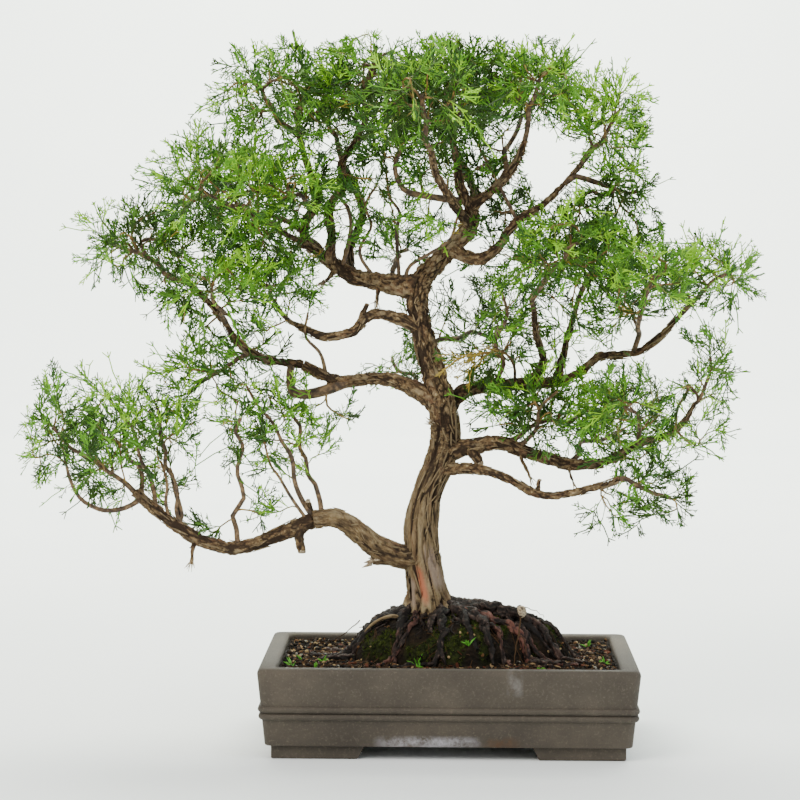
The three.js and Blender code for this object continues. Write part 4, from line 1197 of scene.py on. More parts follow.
class BONSAI_OT_pot(bpy.types.Operator):
    """Models the rectangular pot: its body, the beads of its belt and its corner feet"""

    bl_idname = "bonsai.pot"
    bl_label = "Pot"

    def body(self, sizes, clay):
        """A rounded rectangle drawn up the leaning wall, over the lip and down to the pot's floor."""
        top, base, wall = POT_HIGH.z, sizes.foot, sizes.wall
        middle = (POT_MIDDLE.x, POT_MIDDLE.y, base)
        inset, height = sizes.taper + BASE_EDGE[0][0], base
        pot = rounded_plate("pot_body", middle, POT_LENGTH - 2 * inset, POT_WIDTH - 2 * inset, sizes.corner)
        rings = [(sizes.taper + inward, base + up) for inward, up in BASE_EDGE[1:]]
        rings += [(inward, top - below) for inward, below in RIM_OUTSIDE]
        rings += [(wall - outward, top - below) for outward, below in RIM_INSIDE]
        rings.append((wall + INNER_LEAN, base + sizes.floor))
        for further, up in rings:
            bpy.ops.mesh.select_mode(type="FACE")
            bpy.ops.mesh.extrude_region_move(TRANSFORM_OT_translate={"value": (0, 0, up - height)})
            scale = [(side - 2 * further) / (side - 2 * inset) for side in (POT_LENGTH, POT_WIDTH)]
            bpy.ops.transform.resize(value=(*scale, 1), center_override=middle)
            height, inset = up, further
        bpy.ops.mesh.select_all(action="SELECT")
        bpy.ops.mesh.fill_holes(sides=0)
        bpy.ops.mesh.normals_make_consistent(inside=False)
        bpy.ops.object.mode_set(mode="OBJECT")
        self.drain(pot, base)
        bpy.ops.object.mode_set(mode="EDIT")
        end_piece(pot, clay, ["pot"])

    def drain(self, pot, base):
        """Bores the two drain holes."""
        for side in (-1, 1):
            place = (POT_MIDDLE.x + side * DRAIN["out"], POT_MIDDLE.y, base + 0.003)
            bpy.ops.mesh.primitive_cylinder_add(vertices=28, radius=DRAIN["radius"], depth=0.03,
                                                location=place)
            cutter = bpy.context.object
            bpy.context.view_layer.objects.active = pot
            cut = pot.modifiers.new("drain", "BOOLEAN")
            cut.object = cutter
            cut.operation = "DIFFERENCE"
            bpy.ops.object.modifier_apply(modifier="drain")
            bpy.data.objects.remove(cutter)
        pot.select_set(True)

    def bead(self, sizes, clay, index, height):
        """One half-round bead, run round the wall."""
        lean = sizes.taper * (1 - (height - sizes.foot) / (POT_HIGH.z - sizes.foot))
        ring = rounded_plate(f"pot_bead_{index}", (POT_MIDDLE.x, POT_MIDDLE.y, height),
                             POT_LENGTH - 2 * lean, POT_WIDTH - 2 * lean, sizes.corner)
        bpy.ops.mesh.select_all(action="SELECT")
        bpy.ops.mesh.delete(type="ONLY_FACE")
        bpy.ops.object.mode_set(mode="OBJECT")
        bpy.ops.object.convert(target="CURVE")
        ring.data.bevel_depth = sizes.bead
        ring.data.bevel_resolution = 4
        bpy.ops.object.convert(target="MESH")
        bpy.ops.object.mode_set(mode="EDIT")
        end_piece(ring, clay)

    def foot(self, sizes, clay, index, side_x, side_y):
        """One corner foot with leaning inner ends, sunk a little into the body."""
        height = sizes.foot + 0.0015
        margin = sizes.taper + sizes.foot_inset
        x = POT_MIDDLE.x + side_x * (POT_LENGTH / 2 - margin - sizes.foot_length / 2)
        y = POT_MIDDLE.y + side_y * (POT_WIDTH / 2 - margin - sizes.foot_width / 2)
        foot = start_piece(f"pot_foot_{index}", bpy.ops.mesh.primitive_cube_add, size=1,
                           location=(x, y, height / 2), scale=(sizes.foot_length, sizes.foot_width, height))
        select_corners(foot, lambda corner: corner.z < 1e-4 and (corner.x - x) * side_x < 0)
        bpy.ops.transform.translate(value=(side_x * sizes.slant, 0, 0))
        select_corners(foot, lambda corner: corner.z < 1e-4 and (corner.y - y) * side_y < 0)
        bpy.ops.transform.translate(value=(0, side_y * sizes.slant, 0))
        bpy.ops.mesh.select_mode(type="EDGE")
        bpy.ops.mesh.select_all(action="SELECT")
        bpy.ops.mesh.bevel(offset=0.0009, segments=3, affect="EDGES")
        end_piece(foot, clay)

    def execute(self, context):
        sizes = context.scene.bonsai_pot
        clay = clay_material()
        self.body(sizes, clay)
        for index, height in enumerate(BEAD_HEIGHTS):
            self.bead(sizes, clay, index, height)
        for index, (side_x, side_y) in enumerate(((1, 1), (-1, 1), (-1, -1), (1, -1))):
            self.foot(sizes, clay, index, side_x, side_y)
        return {"FINISHED"}


# Soil, grains, moss and litter

class SoilSizes(bpy.types.PropertyGroup):
    """What lies on the soil."""

    grains: IntProperty(name="Grains", description="Grains of fired clay and grit", default=5200)
    tufts: IntProperty(name="Moss", description="Moss tufts on the mound", default=17000)
    litter: IntProperty(name="Litter", description="Fallen twiglets on the soil", default=420)
    chips: IntProperty(name="Chips", description="Flakes of shed bark on the soil", default=620)


def lumps(x, y, size, layer):
    """Noise over the ground, with lumps of a size in millimetres."""
    rows = [noise.noise(Vector((a / size, b / size, layer))) for a, b in zip(np.ravel(x), np.ravel(y))]
    return np.array(rows).reshape(np.shape(x))


def soil_surface(x, y):
    """The height of the lumpy soil, in millimetres: crumbs all over, and clods on the mound."""
    smooth = mound_height(x, y)
    crumbs = lumps(x, y, 9, 3.0) * 1.6 + lumps(x, y, 3, 9.0) * 0.9
    on_mound = np.clip((smooth - SOIL_LEVEL) / 12, 0, 1)
    return smooth + crumbs + on_mound * lumps(x, y, 7, 70.0) * 3.2 - 0.8


def moss_share(x, y):
    """How mossy each place is, from 0 to 1: the front slope between the roots, and patches elsewhere."""
    slope = np.hypot((x + 6) / 56, (y + 27) / 17)
    on_mound = np.clip((mound_height(x, y) - SOIL_LEVEL) / 5, 0, 1)
    return on_mound * np.clip(4 * (lumps(x, y, 13, 40.0) - 0.08 + 0.34 * np.clip(1.5 - slope, 0, 1)), 0, 1)


def soil_material():
    """Moist bonsai soil: dark loam between fired-clay grains, greened where moss holds on."""
    material, tree, shader = new_material("bonsai_soil")
    place = add_node(tree, "TexCoord").outputs["Object"]
    crumbs = add_node(tree, "TexVoronoi", Vector=place, Scale=420.0)
    cloud = add_node(tree, "TexNoise", Vector=place, Scale=160.0, Detail=6.0, Roughness=0.65)
    loam, green = (
        add_node(tree, "ValToRGB", stops=stops, Fac=cloud.outputs["Fac"]).outputs["Color"]
        for stops in ([(0.35, "#070401"), (0.5, "#120b04"), (0.66, "#21170b")],
                      [(0.38, "#0d0f03"), (0.55, "#1f2508"), (0.68, "#333d0e")]))
    moss = add_node(tree, "Attribute", {"attribute_name": "moss"}).outputs["Fac"]
    covered = coat(tree, loam, [(moss, 0.0, 1.0, 1.0, green)])
    finish_surface(tree, shader, covered, 0.95, 0.2, crumbs.outputs["Distance"], 0.9, 0.0012)
    return material


def grain_material(name, colour):
    """A grain of fired clay or grit: dry, porous, in one earthy colour."""
    material, tree, shader = new_material(name)
    place = add_node(tree, "TexCoord").outputs["Object"]
    pores = add_node(tree, "TexNoise", Vector=place, Scale=900.0, Detail=3.0)
    finish_surface(tree, shader, linear(colour), 0.92, 0.2, pores.outputs["Fac"], 0.6, 0.0004)
    return material


def grain_pattern():
    """A worn grain of twenty faces, one unit across."""
    shape = bmesh.new()
    bmesh.ops.create_icosphere(shape, subdivisions=1, radius=0.5)
    points = np.array([v.co[:] for v in shape.verts])
    faces = np.array([[v.index for v in face.verts] for face in shape.faces])
    shape.free()
    return points * np.array((1.0, 0.85, 0.7)), faces


def moss_pattern(rng):
    """A tuft of moss one unit tall, along +X: five short leaves that spread from one foot."""
    parts = []
    for turn in np.linspace(0, 2 * math.pi, 5, endpoint=False):
        lean = rng.uniform(0.3, 0.8)
        tip = np.array((rng.uniform(0.7, 1.0), lean * math.cos(turn), lean * math.sin(turn)))
        across = unit(np.cross(tip, (1.0, 0.2, 0.1))) * 0.11
        middle = tip * 0.5 + np.array((0.1, 0, 0))
        points = np.vstack([np.zeros(3), middle - across, middle + across, middle - (0.1, 0, 0), tip])
        parts.append((points, np.array([(0, 1, 2), (1, 4, 2), (0, 3, 1), (0, 2, 3), (1, 3, 4), (2, 4, 3)])))
    return join_parts(parts)


def strew(tints, shares, pattern, feet, ways, turns, finish):
    """Copies of a pattern on the soil, sorted by their shares into a piece for each colour."""
    low = 0.0
    for name, colour, high in tints:
        chosen = (shares >= low) & (shares < high)
        low = high
        copies = scatter(pattern, feet[chosen], ways[chosen], *turns(chosen))
        mesh_piece(name, [copies], finish(name, colour), smooth=False)


# What lies on the soil, by colour, each up to its share of the whole.
GRAINS = [
    ("grain_loam", "#0b0703", 0.5), ("grain_brown", "#21160b", 0.8), ("grain_akadama", "#573d25", 0.9),
    ("grain_tan", "#8f7a57", 0.97), ("grain_grey", "#7a776c", 1.0),
]
MOSSES = [("moss_olive", "#3a4510", 0.5), ("moss_dark", "#20280a", 1.0)]
CHIPS = [("chips_rust", "#4c2717", 0.3), ("chips_brown", "#3a2a1c", 0.75), ("chips_pale", "#7b6547", 1.0)]


class BONSAI_OT_soil(bpy.types.Operator):
    """Fills the pot with mounded soil, grains, moss and fallen twiglets"""

    bl_idname = "bonsai.soil"
    bl_label = "Soil"

    def ground(self, sizes):
        """The soil itself: a fine grid over the mound, closed below."""
        middle = (POT_MIDDLE.x, POT_MIDDLE.y, SOIL_LEVEL * MM)
        ground = start_piece("soil_surface", bpy.ops.mesh.primitive_grid_add, x_subdivisions=230,
                             y_subdivisions=150, size=1, location=middle)
        # It stops just short of the pot's inner walls.
        length, width = (2 * (side / 2 - sizes.wall - 0.0006) for side in (POT_LENGTH, POT_WIDTH))
        bpy.ops.transform.resize(value=(length, width, 1), center_override=middle)
        bpy.ops.mesh.select_mode(type="EDGE")
        bpy.ops.mesh.select_all(action="DESELECT")
        bpy.ops.mesh.select_non_manifold(extend=False, use_boundary=True)
        depth = SOIL_LEVEL * MM - sizes.foot - sizes.floor - 0.001
        bpy.ops.mesh.extrude_region_move(TRANSFORM_OT_translate={"value": (0, 0, -depth)})
        bpy.ops.transform.resize(value=(0.975, 0.965, 1), center_override=(*POT_MIDDLE.xy, 0))
        bpy.ops.mesh.edge_face_add()
        piece = end_piece(ground, soil_material(), ["soil"], angle=180)
        spots = np.zeros(len(piece.data.vertices) * 3)
        piece.data.vertices.foreach_get("co", spots)
        spots = spots.reshape(-1, 3)
        top = spots[:, 2] > SOIL_LEVEL * MM - 0.002
        local = (spots[top] - np.array(POT_MIDDLE)) / MM
        spots[top, 2] = soil_surface(local[:, 0], local[:, 1]) * MM
        piece.data.vertices.foreach_set("co", spots.ravel())
        green = np.zeros(len(spots))
        green[top] = moss_share(local[:, 0], local[:, 1])
        piece.data.attributes.new("moss", "FLOAT", "POINT").data.foreach_set("value", green)
        piece.data.update()

    def grains(self, count, sizes, rng):
        """Loose grains of fired clay and grit, fewer on the mound."""
        half_x, half_y = (side / 2 / MM - sizes.wall / MM - 2.5 for side in (POT_LENGTH, POT_WIDTH))
        x, y = rng.uniform(-half_x, half_x, count), rng.uniform(-half_y, half_y, count)
        # One in eight is larger.
        size = rng.uniform(1.0, 3.2, count) * np.where(rng.uniform(size=count) < 0.12, 1.35, 1.0)
        on_mound = mound_height(x, y) > SOIL_LEVEL + 9
        keep = ~on_mound | (rng.uniform(size=count) < 0.22)
        x, y, size = x[keep], y[keep], size[keep]
        feet = np.stack([x, y, soil_surface(x, y) + 0.18 * size], -1)
        ways = normalised(rng.normal(size=feet.shape))
        strew(GRAINS, rng.uniform(size=len(feet)), grain_pattern(), feet, ways,
              lambda chosen: (sideways(ways[chosen], rng), size[chosen]), grain_material)

    def moss(self, count, rng):
        """Patches of short moss on the mound's sides."""
        angle = rng.uniform(0, 2 * math.pi, count)
        out = rng.uniform(0.25, 1.02, count)
        x = MOUND["x"] + MOUND["rx"] * out * np.cos(angle) * mound_lump(angle)
        y = MOUND["y"] + MOUND["ry"] * out * np.sin(angle) * mound_lump(angle)
        keep = rng.uniform(size=count) < 0.95 * moss_share(x, y)
        x, y = x[keep], y[keep]
        feet = np.stack([x, y, soil_surface(x, y) - 0.3], -1)
        ways = normalised(np.array((0, 0, 1.0)) + rng.normal(0, 0.55, feet.shape))
        pattern = moss_pattern(rng)
        strew(MOSSES, rng.uniform(size=len(feet)), pattern, feet, ways,
              lambda chosen: (sideways(ways[chosen], rng), rng.uniform(1.2, 2.6, chosen.sum())),
              lambda name, colour: leaf_material(name, colour, 0.8))

    def litter(self, count, rng):
        """Dry twiglets and dead needles that have dropped on the soil."""
        parts = []
        for _ in range(count):
            x, y = rng.uniform(-105, 105), rng.uniform(-64, 64)
            turn, half = rng.uniform(0, 2 * math.pi), rng.uniform(1.5, 7)
            ends = half * np.array((-1, 0, 1))
            x, y = x + ends * math.cos(turn), y + ends * math.sin(turn)
            path = np.column_stack([x, y, soil_surface(x, y) + rng.uniform(0.5, 1.6)])
            parts.append(tube(path, np.full(3, rng.uniform(0.16, 0.34)), 4)[:2])
        for route, thick in LEANING_TWIGS:
            path = smooth_line(route)(np.linspace(0, 1, 10)) + rng.normal(0, 0.25, (10, 3))
            parts.append(tube(path, np.linspace(thick, thick * 0.5, 10), 5)[:2])
        litter = grain_material("dry_litter", "#3b2916")
        mesh_piece("litter_twiglets", parts, litter, smooth=False)

    def chips(self, count, rng):
        """Flat flakes of shed bark, thickest round the foot of the mound."""
        angle = rng.uniform(0, 2 * math.pi, count)
        out = 1.02 + 0.28 * np.abs(rng.normal(size=count))
        x = np.clip(MOUND["x"] + MOUND["rx"] * out * np.cos(angle), -108, 108)
        y = np.clip(MOUND["y"] + MOUND["ry"] * out * np.sin(angle), -66, 66)
        feet = np.stack([x, y, soil_surface(x, y) + 0.7], -1)
        ways = normalised(rng.normal(0, 1, feet.shape) * (1, 1, 0.22))
        flat = normalised(np.cross(UP, ways) + rng.normal(0, 0.2, feet.shape))
        sides = normalised(flat - ways * np.sum(flat * ways, axis=-1, keepdims=True))
        points, faces = grain_pattern()
        strew(CHIPS, rng.uniform(size=count), (points * (1.0, 0.5, 0.18), faces), feet, ways,
              lambda chosen: (sides[chosen], rng.uniform(2.5, 8, chosen.sum())), grain_material)

    def seedlings(self, rng):
        """Tiny weeds that have sprouted in the soil: narrow leaves from one foot."""
        parts = []
        for x, y, size in SEEDLINGS:
            foot = np.array((x, y, soil_surface(x, y)))
            for _ in range(6):
                way = unit(rng.normal(0, 0.8, 3) * (1, 1, 0) + UP * rng.uniform(0.4, 1.0))
                long = 0.8 * size * rng.uniform(0.6, 1.1)
                spots = [foot, foot + way * long * 0.5 + UP * 0.08 * long, foot + way * long]
                parts.append(tube(np.array(spots), [0.3, 0.62, 0.12], 4)[:2])
        leaves = leaf_material("seedling_leaves", "#4f8c28")
        mesh_piece("seedlings", parts, leaves, smooth=False)

    def execute(self, context):
        sizes, looks = context.scene.bonsai_pot, context.scene.bonsai_soil
        rng = np.random.default_rng(5)
        self.ground(sizes)
        self.grains(looks.grains, sizes, rng)
        self.moss(looks.tufts, rng)
        self.litter(looks.litter, rng)
        self.chips(looks.chips, rng)
        self.seedlings(rng)
        return {"FINISHED"}


# Trunk, boughs and roots

class BarkLooks(bpy.types.PropertyGroup):
    """How fine and how dark the bark is."""

    bark_crack: FloatVectorProperty(name="Cracks", description="Colour deep between the bark's strips",
                                    subtype="COLOR", size=3, default=linear("#271a0e")[:3])
    trunk_sides: IntProperty(name="Trunk sides", description="Points round the trunk", default=150)
    bough_sides: IntProperty(name="Bough sides", description="Points round a bough", default=44)
    step: FloatProperty(name="Ring gap", description="Gap between rings along a limb, in mm", default=1.0)
    strips: IntProperty(name="Strips", description="Loose bark strips on the trunk", default=130)


def root_paths():
    """The surface roots by the rule of the solids, each with its radii."""
    foot = np.array(TRUNK["route"][0], float)
    for degrees, reach, radius, swing in ROOTS:
        angle = math.radians(degrees)
        outward = np.array((math.cos(angle), math.sin(angle), 0))
        aside = np.array((-outward[1], outward[0], 0))
        stretch = outward[0] ** 2 + outward[1] ** 2 * MOUND["ry"] / MOUND["rx"]
        route = []
        for share in (0, 0.22, 0.45, 0.7, 1):
            place = foot + outward * (4 + reach * share * stretch) + aside * swing * math.sin(share * 5)
            place[2] = mound_height(place[0], place[1]) + 0.35 * radius * (1 - 0.75 * share)
            route.append(tuple(place))
        route[0] = (route[0][0], route[0][1], foot[2] + 9)
        yield route, [radius * 1.25, radius, radius * 0.4]


def mound_root_paths(rng):
    """The roots that lie on the mound, with the twists of old wood: route, radii and redness."""
    for spots, lift, girth, red in MOUND_ROOTS:
        line = smooth_line([(x, y, 0) for x, y in spots])
        share = np.linspace(0, 1, 3 * len(spots))
        route = line(share)
        route[1:-1, :2] += rng.normal(0, 1.3, (len(route) - 2, 2))
        route[:, 2] = mound_height(route[:, 0], route[:, 1]) + lift[0] + (lift[1] - lift[0]) * share
        route[1:-1, 2] += rng.normal(0, 0.6, len(route) - 2)
        yield [tuple(place) for place in route], girth, red


def fine_root_paths(rng, count):
    """Thin roots that fork off over the mound."""
    for _ in range(count):
        angle = rng.uniform(0, 2 * math.pi)
        start, reach = rng.uniform(10, 26), rng.uniform(18, 46)
        route = []
        for share in np.linspace(0, 1, 5):
            angle += rng.normal(0, 0.09)
            out = start + reach * share
            x, y = -13 + out * math.cos(angle), out * math.sin(angle) * 0.8
            route.append((x, y, soil_surface(x, y) + 0.5))
        yield route, [rng.uniform(0.9, 1.9), 1.0, 0.5]


class BONSAI_OT_limbs(bpy.types.Operator):
    """Models the trunk, its boughs and surface roots with the relief of flaking bark"""

    bl_idname = "bonsai.limbs"
    bl_label = "Trunk and boughs"

    def execute(self, context):
        looks = context.scene.bonsai_bark
        limbs = grow_limbs()
        rng = np.random.default_rng(11)
        bark = bark_material(looks)
        flutes = [(math.radians(root[0]), 2.6) for root in ROOTS]

        def old_wood(length):
            # Stringy for the lowest 90 mm, flaky from 135 mm up.
            return np.clip((135 - length) / 45, 0, 1)

        trunk = limb_mesh(limbs["trunk"], looks.trunk_sides, looks.step, 0.0, fibre=old_wood, flutes=flutes)
        mark_trunk(trunk, limbs["trunk"])
        strips = bark_flakes(limbs["trunk"], looks.strips, rng, 24, 0.6, 0.42)
        strips += bark_flakes(limbs["trunk"], 2 * looks.strips, rng, 7)
        bark_piece("trunk_bark", [trunk] + strips, bark, ["trunk"])
        boughs = []
        for seed, name in enumerate(BOUGH_NODES):
            limb = limbs[name]
            sides = looks.bough_sides if limb.girth[0] > 3.3 else looks.bough_sides // 2
            share = BARK_FIBRE.get(name, 0.0)
            collar = 0.0 if limb.from_tip or name in BARK_FIBRE else 0.55
            boughs.append(limb_mesh(limb, sides, looks.step * 1.2, 17.0 * (seed + 1), 0.9,
                                    even_fibre(share), collar=collar))
            boughs += bark_flakes(limb, int(limb.length / 3), rng, 14, share)
        bark_piece("bough_bark", boughs, bark, BOUGH_NODES)
        roots = [limb_mesh(Limb(route, girth), 22, 1.0, 300.0 + 9 * i, 1.2)
                 for i, (route, girth) in enumerate(root_paths())]
        for i, (route, girth, red) in enumerate(mound_root_paths(rng)):
            root = limb_mesh(Limb(route, girth), 22, 1.0, 600.0 + 9 * i, 1.5)
            root["wear"] += red * np.clip(ridges(root["grain"] + 40, 6.0, 2.0) * 3 + 0.6, 0, 1)
            roots.append(root)
        roots += [limb_mesh(Limb(route, girth), 8, 1.6, 400.0 + i, 0.5)
                  for i, (route, girth) in enumerate(fine_root_paths(rng, 34))]
        bark_piece("surface_roots", roots, root_material())
        return {"FINISHED"}


def root_material():
    """Old surface roots: damp, black-brown bark with greyer streaks, painted highlights on its raised
    ridges, red where it has been rubbed.
    """
    material, tree, shader = new_material("root_bark")
    grain, relief, wear = (
        add_node(tree, "Attribute", {"attribute_name": name}).outputs[output]
        for name, output in (("grain", "Vector"), ("relief", "Fac"), ("wear", "Fac")))
    strings = add_node(tree, "TexNoise", Vector=grain, Scale=0.5, Detail=6.0, Roughness=0.65)
    tone = add_node(tree, "ValToRGB", Fac=strings.outputs["Fac"],
                    stops=[(0.36, "#0c0704"), (0.48, "#1e1410"), (0.6, "#3c2f29"), (0.74, "#76685d")])
    bark = coat(tree, tone.outputs["Color"], [
        (wear, 0.1, 0.9, 0.7, linear("#74463a")),
        # Painted highlight: the roots' raised ridges are lightened.
        (relief, 0.2, 1.2, 0.22, linear("#6d5d54")),
        (relief, 0.0, -1.0, 0.9, linear("#080503")),
    ])
    finish_surface(tree, shader, bark, 0.66, 0.2, strings.outputs["Fac"], 0.7, 0.001)
    return material


class BONSAI_OT_deadwood(bpy.types.Operator):
    """Models the cut and torn stumps along the boughs"""

    bl_idname = "bonsai.deadwood"
    bl_label = "Stumps and torn ends"

    def execute(self, context):
        limbs = grow_limbs()
        rng = np.random.default_rng(23)
        barked, bare = [], []
        for index, (name, place, way, length, radius, ending) in enumerate(STUBS):
            limb = limbs[name]
            start = limb.place(limb.nearest(place))
            heading = unit(np.array(way, float))
            bend = unit(heading + rng.normal(0, 0.15, 3))
            end = start + heading * limb.girth[-1] + bend * length
            stub = Limb([start, start + heading * length * 0.5, end],
                        [radius * 1.3, radius, radius * (0.8 if ending == "cut" else 0.5)])
            fibre = even_fibre(BARK_FIBRE.get(name, 0.0))
            barked.append(limb_mesh(stub, 22, 0.9, 500.0 + 9 * index, 1.0, fibre))
            if ending == "cut":
                face = np.array([end - bend * 0.6, end + bend * 0.35])
                bare.append(tube(face, [radius * 0.72, radius * 0.66], 18)[:2])
            else:
                for _ in range(7):
                    splay = unit(bend + rng.normal(0, 0.3, 3))
                    root = end - bend * rng.uniform(1, 4) + rng.normal(0, radius * 0.25, 3)
                    path = np.array([root, root + splay * rng.uniform(2, 5),
                                     root + splay * rng.uniform(5, 9)])
                    bare.append(tube(path, [radius * 0.27, radius * 0.2, 0.15], 5)[:2])
        # The cut end of the thick root on the mound, and a thin dead root that arches beside it.
        spots, lift, girth, _ = MOUND_ROOTS[0]
        end = np.array((*spots[-1], mound_height(*spots[-1]) + lift[1]))
        knob = np.array([end + np.array((0.75, -0.65, 0.1)) * out for out in (-1.2, 0.6, 2.0, 2.8)])
        bare.append(tube(knob, girth[-1] * np.array([0.9, 1.05, 1.0, 0.66]), 20)[:2])
        arch = smooth_line([(x, y, mound_height(x, y) + high) for x, y, high in DEAD_ROOT])
        arch = Limb(arch(np.linspace(0, 1, 24))[::3], [0.7, 1.0, 1.2, 0.8])
        barked.append(limb_mesh(arch, 9, 0.9, 800.0, 0.5, even_fibre(1.0)))
        bark_piece("stump_bark", barked, bark_material(context.scene.bonsai_bark))
        mesh_piece("stump_wood", bare, wood_material())
        return {"FINISHED"}


# Twigs and shoots

class FoliageLooks(bpy.types.PropertyGroup):
    """How full the pads are and how large their shoots."""

    twigs: IntProperty(name="Twigs", description="Twigs that a pad of common size has", default=88)
    shoot: FloatProperty(name="Shoot", description="Length of a common shoot, in mm", default=14.5)
    beyond: FloatProperty(name="Beyond", description="How far shoots may pass the solids, in mm", default=5)


# Painted light and shade on the pads: where shoots take lighter or darker tints, with the middle, reach
# along X, Y and Z, and how far up the tints.
PAINTED_LIGHT_AND_SHADE = [
    ((-16, -80, 454), (22, 34, 9), 0.16), ((-10, -50, 424), (78, 66, 32), -0.4),
    ((-218, -40, 212), (16, 20, 12), 0.35), ((150, -10, 322), (24, 30, 10), 0.2),
    ((140, -30, 229), (22, 34, 15), -0.4), ((52, -30, 242), (24, 30, 11), 0.3),
    ((-150, -20, 350), (60, 60, 50), 0.08), ((-118, 0, 210), (50, 40, 50), 0.2),
    ((88, -10, 412), (44, 70, 50), 0.25), ((108, -20, 236), (80, 70, 44), 0.16),
]

# Where most of them have dried: middle and reach.
DRIED_PLACE = ((-2, -12, 256), (22, 14, 11))

# The greens from the inner shoots to the outer ones, then straw, each with its share of the shoots.
SHOOT_TINTS = [
    ("shoots_deep_green", "#2a4209", 0.2),
    ("shoots_blue_green", "#33581e", 0.19),
    ("shoots_mid_green", "#4b741d", 0.28),
    ("shoots_bright_green", "#609626", 0.21),
    ("shoots_yellow_green", "#8dbf2c", 0.12),
    ("shoots_straw", "#8e7c2c", 0.1),
]

# How many triangles one piece of shoots may have before it is shared out over two.
LARGEST_PIECE = 185000


